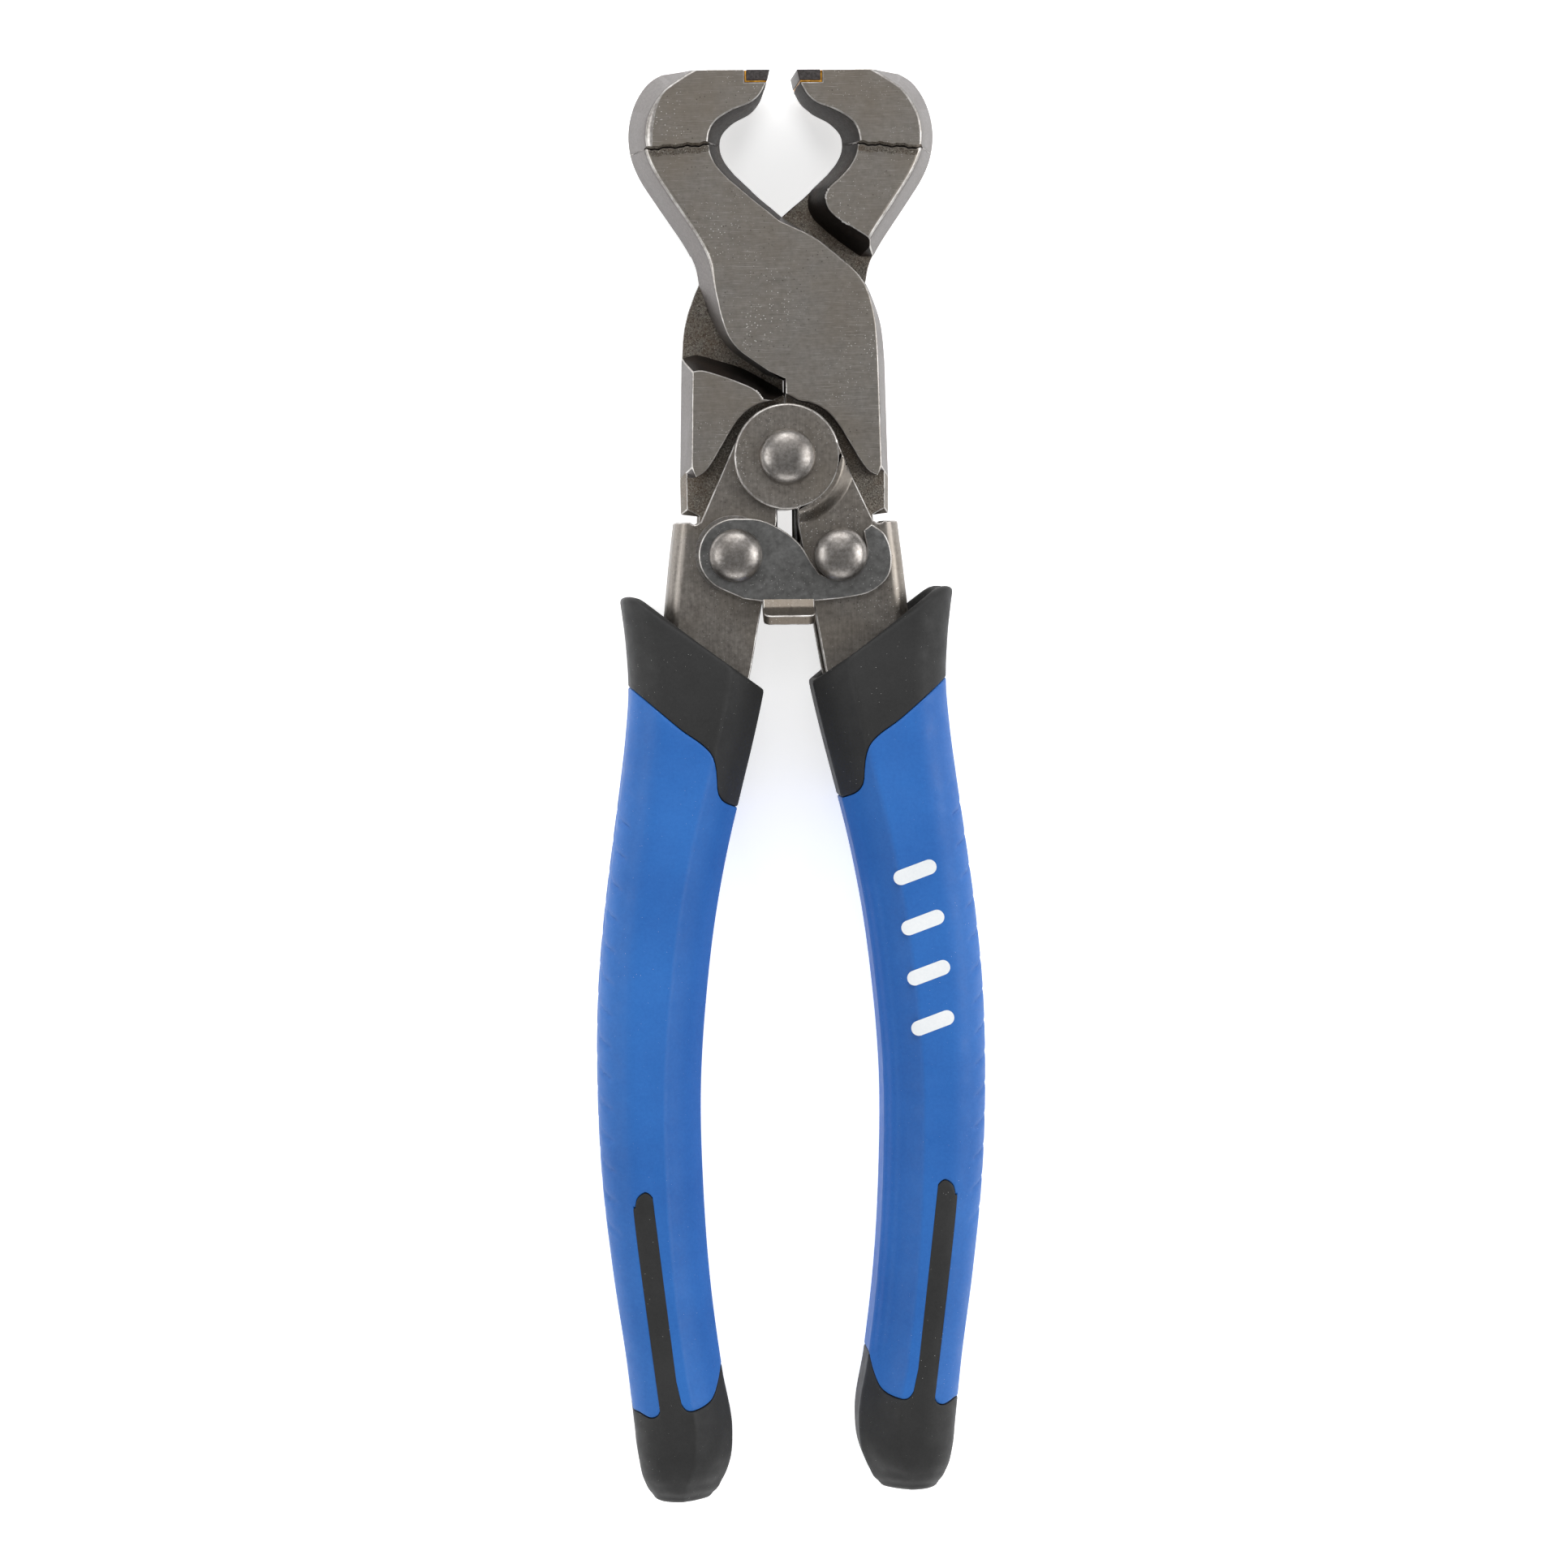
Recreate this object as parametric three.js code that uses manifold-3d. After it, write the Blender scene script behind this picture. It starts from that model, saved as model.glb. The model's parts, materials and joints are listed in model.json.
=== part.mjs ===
// Mosaic glass nippers: compound-action cutting pliers, lying on their back.
// Millimetres. +X to the right, +Y towards the jaws, +Z up out of the front face.
// The tool is drawn about its own mid-plane, then lifted so that the grips' backs rest on z = 0.
// The jaws are one forging used twice, and so are the handle frames and the grips: the second
// copy is the first one turned over about the tool's centre line.

import * as THREE from "three";
import { mergeVertices } from "three/addons/utils/BufferGeometryUtils.js";
import Module from "manifold-3d";

const wasm = await Module();
wasm.setup();

// ---- driving dimensions ------------------------------------------------------------------

const TOP_Y = 105.5; // ground faces at the tips
const JAW_PIVOT = [0, 71.3];
const HANDLE_PIVOT = [0, 49.1];
const JAW_RIVET = [7.7, 34.7]; // in the right handle; the left one is its mirror image

const JAW_FACE = 7.2; // half thickness of the jaw bodies
const NOSE_FACE = 8.5; // half thickness of the raised noses
const LAP_GAP = 0.15; // half the gap between the two lap faces and between the closing stops
const TONGUE_FACE = 4.0; // half thickness of the tails inside the channels
const CHANNEL_INSIDE = 4.2; // half height inside the channels
const SHEET = 2.0; // channel sheet
const CHANNEL_OUTSIDE = CHANNEL_INSIDE + SHEET;
const EYE_LIFT = CHANNEL_OUTSIDE + 0.2; // underside of a joggled eye
const EYE_TOP = EYE_LIFT + SHEET;
const EYE_R = 7.8;
const CHANNEL_TOP_Y = 39.6;
const CHANNEL_END_Y = -88;

const HANDLE_SHANK_R = 3.0;
const JAW_SHANK_R = 2.5;
const NECK_R = 2.3; // catch of the right jaw rivet, under its dome
const RUNNING = 0.06; // radial clearance of the riveted joints
const PIN_R = 4.5;
const PIN_HALF = 5.0;
const PIN_RUNNING = 0.1;

const WASHER = { z: CHANNEL_OUTSIDE + 0.05, thick: 0.35, r: 5.7 };
const LATCH_Z = WASHER.z + WASHER.thick + 0.05;
const LATCH_THICK = 1.6;
const LATCH_TOP = LATCH_Z + LATCH_THICK;
const DOME_H = 2.6;

const CARBIDE = { width: 3.4, depth: 1.55, tip: 2.0, seam: 0.25, fit: 0.03 };

const GRIP_FACE = 10.5; // half thickness of the grips, and the height of the mid-plane at rest
const GRIP_CORNER = 5.6;
const COVER_THICK = 1.8;
const GRIP_SLIP = 0.6; // the left grip is pushed on this much lower, and the right one higher
const FIT = 0.15; // between a grip's core, its cover and the channel

const STEEL = { color: 0x6c6762, roughness: 0.42, metalness: 1 };
const BLUED = { color: 0x4c4e50, roughness: 0.5, metalness: 1 };
const CARBIDE_GREY = { color: 0x3c3a3a, roughness: 0.45, metalness: 1 };
const BRASS = { color: 0xb5833c, roughness: 0.4, metalness: 1 };
const BLACK_RUBBER = { color: 0x2b2b2c, roughness: 0.75, metalness: 0 };
const BLUE_RUBBER = { color: 0x2f66b5, roughness: 0.55, metalness: 0 };

// ---- outlines ----------------------------------------------------------------------------

const onPlan = (p) => new THREE.Vector2(p.x, p.y);
const onSection = (p) => new THREE.Vector2(p.x, p.z);

// A point of an outline: x, y and how far the side leans in there between mid-plane and face.
const point = ([x, y, lean = 0]) => new THREE.Vector3(x, y, lean);
const line = (...points) => points.map(point);

function curve(steps, ...points) {
  const spline = new THREE.CatmullRomCurve3(points.map(point));
  return spline.getPoints(steps * (points.length - 1));
}

// An arc about a centre, from one angle to another in degrees.
function arc([cx, cy], radius, from, to, steps) {
  return Array.from({ length: steps + 1 }, (_, i) => {
    const angle = THREE.MathUtils.degToRad(from + ((to - from) * i) / steps);
    return new THREE.Vector3(cx + radius * Math.cos(angle), cy + radius * Math.sin(angle), 0);
  });
}

// Joins runs of points into one closed outline, leaving out doubled points.
function outline(...runs) {
  const all = runs.flat();
  const kept = all.filter((p, i) => onPlan(p).distanceTo(onPlan(all[(i + 1) % all.length])) > 1e-3);
  return THREE.ShapeUtils.area(kept) < 0 ? kept.reverse() : kept;
}

// Moves each point of a counter-clockwise outline inwards along the mitre of its two sides.
function inset(points, distance) {
  return points.map((p, i) => {
    const before = points[(i + points.length - 1) % points.length];
    const after = points[(i + 1) % points.length];
    const side = (a, b) => new THREE.Vector2(a.y - b.y, b.x - a.x).normalize();
    const n = side(before, p).add(side(p, after));
    const by = (2 * distance(p)) / Math.max(n.lengthSq(), 1.2);
    return new THREE.Vector3(p.x + n.x * by, p.y + n.y * by, 0);
  });
}

// ---- solids ------------------------------------------------------------------------------

// Skins rings of equal length into one closed solid; flat() gives a ring's own plane.
function loft(rings, flat) {
  const count = rings[0].length;
  const triangles = [];
  for (let r = 0; r + 1 < rings.length; r += 1) {
    for (let i = 0; i < count; i += 1) {
      const [a, b] = [r * count + i, r * count + ((i + 1) % count)];
      triangles.push([a, b, b + count], [a, b + count, a + count]);
    }
  }
  // A triangulated cap always turns counter-clockwise on its own plane, whichever way its ring goes.
  const cap = (ring, first, up) => {
    const plan = ring.map(flat);
    const along = THREE.ShapeUtils.area(plan) > 0 === up;
    for (const face of THREE.ShapeUtils.triangulateShape(plan, [])) {
      const corners = face.map((i) => first + i);
      triangles.push(along ? corners : corners.reverse());
    }
  };
  cap(rings[0], 0, false);
  cap(rings.at(-1), (rings.length - 1) * count, true);
  const geometry = new THREE.BufferGeometry().setFromPoints(rings.flat());
  geometry.setIndex(triangles.flat());
  return solid(geometry);
}

// Turns a closed geometry into a solid, with its faces pointing out.
function solid(geometry) {
  const bare = geometry.clone();
  bare.deleteAttribute("normal");
  bare.deleteAttribute("uv");
  const merged = mergeVertices(bare, 1e-4);
  const make = (triVerts) =>
    new wasm.Manifold(
      new wasm.Mesh({ numProp: 3, vertProperties: merged.attributes.position.array, triVerts }),
    );
  const made = make(new Uint32Array(merged.index.array));
  return made.volume() > 0 ? made : make(new Uint32Array(merged.index.array).reverse());
}

function join(first, ...others) {
  return others.reduce((sum, other) => sum.add(other), first);
}

function cut(first, ...others) {
  return others.reduce((rest, other) => rest.subtract(other), first);
}

const atHeight = (points, z) => points.map((p) => new THREE.Vector3(p.x, p.y, z));

function slab(points, low, high) {
  return loft([atHeight(points, low), atHeight(points, high)], onPlan);
}

// A slab whose sides lean in from the parting plane towards both faces.
function draftedSlab(points, face) {
  const faceOutline = inset(points, (p) => p.z);
  const rings = [atHeight(faceOutline, -face), atHeight(points, 0), atHeight(faceOutline, face)];
  return loft(rings, onPlan);
}

// A turned piece: a profile of [radius, height] pairs that starts and ends on the axis.
function turned(profile, [x, y], segments) {
  const points = profile.map(([r, z]) => new THREE.Vector2(r, z));
  const geometry = new THREE.LatheGeometry(points, segments);
  geometry.rotateX(Math.PI / 2);
  geometry.translate(x, y, 0);
  return solid(geometry);
}

function disc(centre, radius, low, high, segments = 32) {
  return turned([[0, low], [radius, low], [radius, high], [0, high]], centre, segments);
}

function box([x0, y0, z0], [x1, y1, z1]) {
  const geometry = new THREE.BoxGeometry(x1 - x0, y1 - y0, z1 - z0);
  geometry.translate((x0 + x1) / 2, (y0 + y1) / 2, (z0 + z1) / 2);
  return solid(geometry);
}

function geometryOf(made) {
  const mesh = made.getMesh();
  const geometry = new THREE.BufferGeometry();
  geometry.setAttribute("position", new THREE.BufferAttribute(mesh.vertProperties, 3));
  geometry.setIndex(new THREE.BufferAttribute(mesh.triVerts, 1));
  geometry.computeVertexNormals();
  return geometry;
}

// ---- jaws: drawn as the front jaw, head on the left and tail on the right -------------------

const CLOSING_FACE_X = LAP_GAP;

// The drawing runs on past the tips, which are then ground off flat.
const PAST_TIP = 3;

function mouthEdge() {
  return [
    ...line([-CARBIDE.tip + 0.3, TOP_Y + PAST_TIP, 0.1], [-CARBIDE.tip, TOP_Y, 0.1]),
    ...curve(2, [-2.3, 103.4, 0.2], [-3.1, 101.4, 0.5], [-4.4, 99.8, 0.9], [-7.2, 98.2, 1.3],
      [-8.8, 96.4, 1.8], [-9.0, 94.4, 1.9], [-8.3, 92.6, 1.8], [-6.9, 90.8, 1.6]),
    ...line([-3.1, 87.2, 1.3], [0, 84.6, 1.2]),
  ];
}

function headSide() {
  return curve(2, [-12.4, 74.6, 1.9], [-12.9, 77.2, 1.9], [-14.1, 79.8, 1.9], [-18.6, 86.6, 1.9],
    [-20.9, 90.2, 2.0], [-22.1, 93.2, 2.0], [-22.5, 96.4, 2.1], [-22.1, 99.4, 2.2],
    [-20.9, 102.2, 2.2], [-19.0, 104.2, 2.3], [-16.4, TOP_Y, 2.3], [-13.2, 107.2, 2.3],
    [-10.5, TOP_Y + PAST_TIP, 2.3]);
}

// The tail's pad ends in a curve that leaves room for the handle eyes.
function padEdge() {
  return curve(2, [0.6, 58.0], [2.0, 57.3], [3.5, 57.0], [5.1, 56.3], [6.5, 55.2], [7.9, 53.4],
    [9.4, 50.9], [10.9, 48.4], [12.1, 46.9], [13.3, 46.2]);
}

function jawOutline() {
  return outline(
    mouthEdge(),
    curve(3, [0, 84.6, 1.2], [4.6, 81.6, 0.5], [8.2, 78.8, 0.5], [10.9, 76.3, 0.5],
      [12.4, 74.6, 0.7]),
    curve(3, [12.4, 74.6, 0.7], [13.2, 72.8, 0.8], [14.4, 69.2, 1.2], [14.9, 65.6, 1.4],
      [15.2, 56.6, 1.4]),
    line([15.4, 46.1, 1.4], [13.3, 46.2]),
    padEdge().reverse(),
    line([CLOSING_FACE_X, 58.3], [CLOSING_FACE_X, 60.5]),
    curve(2, [-2.6, 61.3, 0.3], [-5.2, 63.1, 0.3], [-7.3, 64.6, 0.4], [-9.0, 66.5, 0.7],
      [-10.4, 69.2, 1.1], [-11.4, 71.8, 1.5], [-12.4, 74.6, 1.9]),
    headSide(),
  );
}

// The raised nose, down to the sloping step where the jaw's body starts.
function nose() {
  const whole = outline(
    mouthEdge().filter((p) => p.y > 91),
    headSide().filter((p) => p.y > 88),
  );
  const below = outline(line([-24, 93.7], [-15, 94.4], [-10.8, 94.7], [-7, 96], [-7, 80], [-24, 80]));
  return draftedSlab(whole, NOSE_FACE).subtract(slab(below, -NOSE_FACE - 1, NOSE_FACE + 1));
}

// The thin tail between the channel walls, notched round the spring, with the rivet's boss.
function tongueOutline() {
  const notch = 6.6;
  const innerX = 2.6;
  const bottomAngle = -THREE.MathUtils.radToDeg(Math.acos(innerX / notch));
  return outline(
    line([CLOSING_FACE_X, 58.3], [CLOSING_FACE_X, HANDLE_PIVOT[1] + notch]),
    arc(HANDLE_PIVOT, notch, 88, bottomAngle, 14),
    arc(JAW_RIVET, 5.6, 180, 360, 14),
    line([12.8, 40.3], [15.3, 41.2], [15.4, 46.1], [15.2, 54], [8, 57]),
  );
}

// What the lap joint leaves out of the back half: a slot with sloping end walls.
function lapRecess() {
  const foot = outline(
    line([-20, 78.7], [-11.6, 78.7]),
    curve(2, [-11.6, 78.7], [-8.4, 81.0], [-6.0, 83.0], [-4.5, 84.6], [-3.9, 86.4], [-4.3, 88.4]),
    line([6, 92], [24, 80], [24, 63.9], [14.6, 63.9]),
    curve(2, [14.6, 63.9], [12.9, 64.3], [9.7, 63.5], [6.2, 62.4], [3.7, 61.1], [1.5, 59.8]),
    line([-1, 58.2], [-20, 58.2]),
  );
  const edge = outline(
    line([-20, 80.9], [-13.7, 80.9]),
    curve(2, [-13.7, 80.9], [-10.4, 82.9], [-7.9, 84.4], [-6.9, 85.6], [-6.6, 87.2], [-7.6, 89.2]),
    line([6, 92], [24, 80], [24, 60.6], [14.6, 60.6]),
    curve(2, [14.6, 60.6], [12.6, 61.2], [9.7, 60.5], [6.6, 59.3], [4.6, 58.3], [3.8, 57.0]),
    line([-1, 56.4], [-20, 56.4]),
  );
  return loft([atHeight(edge, -NOSE_FACE), atHeight(foot, LAP_GAP)], onPlan);
}

function jaw(pinClearance) {
  const seat = CARBIDE.tip + CARBIDE.width + CARBIDE.seam + 2 * CARBIDE.fit;
  const seatY = TOP_Y - CARBIDE.depth - CARBIDE.seam - 2 * CARBIDE.fit;
  const clear = NOSE_FACE + 1;
  return cut(
    join(
      draftedSlab(jawOutline(), JAW_FACE),
      nose(),
      slab(tongueOutline(), -TONGUE_FACE, TONGUE_FACE),
    ),
    lapRecess(),
    box([-24, TOP_Y, -clear], [0, TOP_Y + 2 * PAST_TIP, clear]),
    box([-seat, seatY, -clear], [0, TOP_Y + 1, clear]),
    disc(JAW_PIVOT, PIN_R + pinClearance, -1, PIN_HALF + FIT),
    disc(JAW_RIVET, JAW_SHANK_R + RUNNING, -NOSE_FACE, NOSE_FACE),
  );
}

// The carbide bar runs along the nose's top edge from face to face.
function carbideTip() {
  const bottom = TOP_Y - CARBIDE.depth;
  const back = -CARBIDE.tip - CARBIDE.width;
  const points = line([-CARBIDE.tip, TOP_Y], [back, TOP_Y], [back, bottom], [-2.35, bottom]);
  return slab(outline(points), -NOSE_FACE + 0.1, NOSE_FACE - 0.1);
}

function brazeSeam() {
  const top = TOP_Y - CARBIDE.depth - CARBIDE.fit;
  const front = -CARBIDE.tip - CARBIDE.width - CARBIDE.fit;
  const { seam } = CARBIDE;
  const points = line([-2.45, top], [front, top], [front, TOP_Y - 0.1], [front - seam, TOP_Y - 0.1],
    [front - seam, top - seam], [-2.5, top - seam]);
  return slab(outline(points), -NOSE_FACE + 0.15, NOSE_FACE - 0.15);
}

// ---- handle frames: drawn as the right one, joggled eye in front ----------------------------

// Stations of a handle: y, then the x of its inner edge and of its web's outer face.
const CHANNEL = [
  [CHANNEL_TOP_Y, 1.5, 16.4], [33, 2.7, 17.2], [27, 3.9, 17.8], [16, 5.9, 19.0], [6, 8.4, 20.4],
  [-8, 12.0, 22.7], [-24, 15.2, 24.8], [-42, 16.7, 25.7], [-62, 16.2, 24.6],
  [CHANNEL_END_Y, 14.0, 21.0],
];

// A bend's quarter circle in section, about (x, z), from one angle to another.
function bend(x, z, radius, from, to) {
  return arc([x, z], radius, from, to, 3).map((p) => [p.x, p.y]);
}

function channelSection([y, inner, outer]) {
  const [outside, inside] = [2.5, 0.5];
  const web = outer - SHEET;
  const section = [
    [inner, -CHANNEL_OUTSIDE],
    ...bend(outer - outside, outside - CHANNEL_OUTSIDE, outside, -90, 0),
    ...bend(outer - outside, CHANNEL_OUTSIDE - outside, outside, 0, 90),
    [inner, CHANNEL_OUTSIDE],
    [inner, CHANNEL_INSIDE],
    ...bend(web - inside, CHANNEL_INSIDE - inside, inside, 90, 0),
    ...bend(web - inside, inside - CHANNEL_INSIDE, inside, 0, -90),
    [inner, -CHANNEL_INSIDE],
  ];
  return section.map(([x, z]) => new THREE.Vector3(x, y, z));
}

// The plan of a wall from its eye down to where it has become the channel's side.
function wallOutline() {
  return outline(
    arc(HANDLE_PIVOT, EYE_R, 20, 281, 28),
    line([1.5, CHANNEL_TOP_Y], [2.7, 33], [12, 33], [13.6, 38], [12.6, CHANNEL_TOP_Y + 0.2]),
  );
}

function handleFrame() {
  const joggle = turned(
    [[0, EYE_LIFT], [EYE_R + 0.4, EYE_LIFT], [EYE_R + 0.7, EYE_LIFT - 0.9],
      [EYE_R + 0.7, CHANNEL_INSIDE], [30, CHANNEL_INSIDE], [30, CHANNEL_OUTSIDE],
      [EYE_R + 2.4, CHANNEL_OUTSIDE], [EYE_R + 1.1, EYE_TOP - 0.1], [EYE_R + 0.7, EYE_TOP],
      [0, EYE_TOP]],
    HANDLE_PIVOT, 48);
  return cut(
    join(
      loft(CHANNEL.map(channelSection), onSection),
      slab(wallOutline(), -CHANNEL_OUTSIDE, -CHANNEL_INSIDE),
      joggle.intersect(slab(wallOutline(), 0, EYE_TOP + 1)),
    ),
    disc(HANDLE_PIVOT, HANDLE_SHANK_R + RUNNING, -EYE_TOP - 1, EYE_TOP + 1),
    disc(JAW_RIVET, JAW_SHANK_R + RUNNING, -EYE_TOP, EYE_TOP),
  );
}

// ---- rivets, pin, bush, washer and spring ---------------------------------------------------

// A domed head above z, as the profile of its upper side out to its rim.
function dome(radius, z, height) {
  const rim = 0.5;
  return Array.from({ length: 6 }, (_, i) => {
    const angle = ((5 - i) / 5) * (Math.PI / 2);
    return [radius * Math.sin(angle), z + rim + (height - rim) * Math.cos(angle)];
  });
}

function handlePivotRivet() {
  const seat = EYE_TOP + 0.05;
  return turned(
    [[0, -GRIP_FACE], [4.0, -GRIP_FACE], [4.4, -GRIP_FACE + 0.4], [4.4, -seat],
      [HANDLE_SHANK_R, -seat], [HANDLE_SHANK_R, seat], [4.1, seat], ...dome(4.1, seat, DOME_H)],
    HANDLE_PIVOT, 28);
}

// The jaw rivets differ only in what stands under the dome: the latch, or the latch's catch.
function jawRivet(x, neckR) {
  const back = -CHANNEL_OUTSIDE - 0.05;
  const seat = LATCH_TOP + 0.1;
  return turned(
    [[0, back - 1.9], [3.4, back - 1.9], [3.9, back - 1.4], [3.9, back], [JAW_SHANK_R, back],
      [JAW_SHANK_R, CHANNEL_OUTSIDE], [neckR, CHANNEL_OUTSIDE + 0.05], [neckR, seat],
      [3.9, seat], ...dome(3.9, seat, DOME_H)],
    [x, JAW_RIVET[1]], 28);
}

function handlePivotBush() {
  const half = CHANNEL_INSIDE - 0.05;
  const bore = HANDLE_SHANK_R + RUNNING;
  return disc(HANDLE_PIVOT, 4.4, -half, half).subtract(disc(HANDLE_PIVOT, bore, -9, 9));
}

function latchWasher() {
  const { z, thick, r } = WASHER;
  const centre = [-JAW_RIVET[0] - 0.2, JAW_RIVET[1] + 0.2];
  const bore = disc([-JAW_RIVET[0], JAW_RIVET[1]], JAW_SHANK_R + RUNNING, 0, 9);
  return disc(centre, r, z, z + thick).subtract(bore);
}

// A torsion spring: turns round the bush, and two legs down between the jaw tails.
function openingSpring() {
  const [wireR, coilR, turns, half] = [0.6, 5.3, 4, 3.1];
  const [legX, legEnd, legLean] = [1.5, 35.5, 16];
  const [cx, cy] = HANDLE_PIVOT;
  const start = -90 - legLean;
  const sweep = turns * 360 - 2 * legLean;
  const coil = Array.from({ length: 49 }, (_, i) => {
    const angle = THREE.MathUtils.degToRad(start - (sweep * i) / 48);
    const z = -half + (2 * half * i) / 48;
    return new THREE.Vector3(cx + coilR * Math.cos(angle), cy + coilR * Math.sin(angle), z);
  });
  const leg = (x, z) => [41.5, 38.5, legEnd].map((y) => new THREE.Vector3(x, y, z));
  const path = [...leg(-legX, -half).reverse(), ...coil, ...leg(legX, half)];
  const round = new THREE.Shape().absarc(0, 0, wireR, 0, 2 * Math.PI);
  const geometry = new THREE.ExtrudeGeometry(round, {
    steps: 84, curveSegments: 3, extrudePath: new THREE.CatmullRomCurve3(path),
  });
  return solid(geometry);
}

// ---- latch ----------------------------------------------------------------------------------

const TAB_HALF = 3.8;

function latchOutline() {
  return outline(
    arc([-JAW_RIVET[0], JAW_RIVET[1]], 5.4, 250, 90, 12),
    curve(3, [-7.7, 40.1], [-4.2, 39.9], [-1.2, 38.6], [1.6, 36.4], [3.4, 33.6]),
    curve(3, [4.6, 31.9], [7.2, 31.0], [10.0, 31.9], [11.5, 34.4], [11.1, 38.2]),
    curve(3, [12.3, 39.1], [14.2, 37.6], [15.2, 34.4], [14.7, 31.4], [12.4, 29.3], [9.0, 28.4],
      [TAB_HALF, 27.9]),
    line([-TAB_HALF, 27.9], [-6.6, 28.3]),
  );
}

// The thumb tab leaves the plate's lower edge and bends forwards.
function thumbTab() {
  const [z, top] = [LATCH_Z, LATCH_TOP];
  const side = [[29, z], [27.4, z], [26.3, z + 0.6], [24.4, z + 4.1], [25.8, z + 4.9],
    [27.5, top + 0.3], [28.2, top], [29, top]];
  const rings = [-TAB_HALF, TAB_HALF].map((x) => side.map(([y, h]) => new THREE.Vector3(x, y, h)));
  return loft(rings, (p) => new THREE.Vector2(p.y, p.z));
}

function lockLatch() {
  const bore = disc([-JAW_RIVET[0], JAW_RIVET[1]], JAW_SHANK_R + RUNNING, 0, 12);
  return join(slab(latchOutline(), LATCH_Z, LATCH_TOP), thumbTab()).subtract(bore);
}

// ---- grips: drawn as the right one ----------------------------------------------------------

// Stations of a grip: y, the x of its inner and outer sides, and its half thickness.
const GRIP = [
  [31, 1.4, 24.7, GRIP_FACE], [22, 2.6, 23.6, GRIP_FACE], [15.4, 3.6, 23.3, GRIP_FACE],
  [8.6, 5.1, 23.8, GRIP_FACE], [1.4, 6.9, 24.7, GRIP_FACE], [-8, 9.2, 26.0, GRIP_FACE],
  [-18, 11.1, 27.3, GRIP_FACE], [-29, 12.5, 28.3, GRIP_FACE], [-43, 13.5, 28.6, GRIP_FACE],
  [-58, 13.3, 28.0, GRIP_FACE], [-72, 12.4, 26.5, GRIP_FACE], [-85, 10.8, 24.7, GRIP_FACE],
  [-94, 9.4, 23.7, GRIP_FACE], [-98.5, 9.8, 23.2, 10.3], [-101.4, 11.2, 22.5, 9.4],
  [-103.4, 12.9, 21.4, 7.7], [-104.6, 15.0, 20.0, 5.4], [-105, 17, 18.6, 2.4],
];

function gripSection([y, inner, outer, face], skin) {
  const [left, right, z] = [inner + skin, outer - skin, face - skin];
  const corner = Math.min(GRIP_CORNER - skin / 2, (right - left) / 2 - 0.05, z - 0.05);
  const points = [[right, z, 0], [left, z, 90], [left, -z, 180], [right, -z, 270]];
  return points.flatMap(([x, height, from]) => {
    const cx = x - Math.sign(x - (left + right) / 2) * corner;
    const cz = height - Math.sign(height) * corner;
    return arc([cx, cz], corner, from, from + 90, 4).map((p) => new THREE.Vector3(p.x, y, p.y));
  });
}

// The whole grip with a skin of the given thickness taken off all round.
function gripBody(skin) {
  const stations = skin > 0 ? GRIP.filter(([, , , face]) => face > 6) : GRIP;
  return loft(stations.map((station) => gripSection(station, skin)), onSection);
}

// Everything above the sloping line of the collar's mouth, moved down by a depth.
function aboveMouth(depth) {
  const points = line([-6, 9.2 - depth], [32, 35.4 - depth], [32, 60], [-6, 60]);
  return slab(outline(points), -20, 20);
}

// The plan of the cover, grown by a clearance: a long skin forked round the black strip.
function coverPlan(grow) {
  const edge = outline(
    line([34, 22.6], [22.9, 14.9]),
    curve(2, [19.6, 12.1], [15.9, 9.0], [12.9, 6.9], [11.5, 5.4], [10.9, 3.2], [10.6, -0.2],
      [9.7, -1.5], [7.8, -2.4]),
    line([0, -3], [0, -83.9], [10.6, -83.9]),
    curve(2, [10.6, -83.9], [11.5, -88.4], [12.5, -90.6], [14.2, -91.6], [16.2, -91.8],
      [17.3, -90.4], [17.7, -87.5]),
    line([20.7, -62]),
    curve(2, [20.7, -62], [20.9, -60.3], [22.1, -59.4], [23.3, -60.2], [23.6, -61.6]),
    line([20.2, -90]),
    curve(2, [20.2, -90], [20.4, -92.2], [21.6, -92.9], [23.4, -92.2]),
    line([34, -92.2]),
  );
  return slab(inset(edge, () => -grow), -20, 20);
}

// Room for the channel: its own outline filled in, from the mouth down to its end.
function channelRoom() {
  const rings = CHANNEL.map(([y, inner, outer]) => {
    const [x0, x1, z] = [inner - FIT, outer + FIT, CHANNEL_OUTSIDE + FIT];
    const end = y === CHANNEL_END_Y ? y - 2 * FIT : y;
    return [[x0, -z], [x1, -z], [x1, z], [x0, z]].map(([x, h]) => new THREE.Vector3(x, end, h));
  });
  return loft(rings, onSection);
}

// Moves a grip along its handle by the amount that it was pushed on too little or too far.
const slipped = (made, slip) => made.translate([0, slip, 0]);

function gripCore(slip) {
  const collarWall = 1.7;
  const mouthDepth = 6;
  const shell = cut(gripBody(0), coverPlan(FIT), aboveMouth(0));
  const inside = cut(gripBody(COVER_THICK + FIT), aboveMouth(mouthDepth));
  const mouth = gripBody(collarWall).intersect(aboveMouth(mouthDepth));
  return cut(slipped(join(shell, inside).subtract(mouth), slip), channelRoom());
}

function gripCover(slip) {
  const skin = cut(gripBody(0).intersect(coverPlan(0)), gripBody(COVER_THICK));
  return slipped(skin, slip);
}

// ---- assembly -------------------------------------------------------------------------------

const nippers = new THREE.Group();
nippers.position.set(0, 0, GRIP_FACE);
const turnedOver = new THREE.Group();
turnedOver.rotation.y = Math.PI;
nippers.add(turnedOver);

function place(group, name, made, look) {
  const mesh = new THREE.Mesh(geometryOf(made), new THREE.MeshStandardMaterial(look));
  mesh.name = name;
  group.add(mesh);
}

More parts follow.
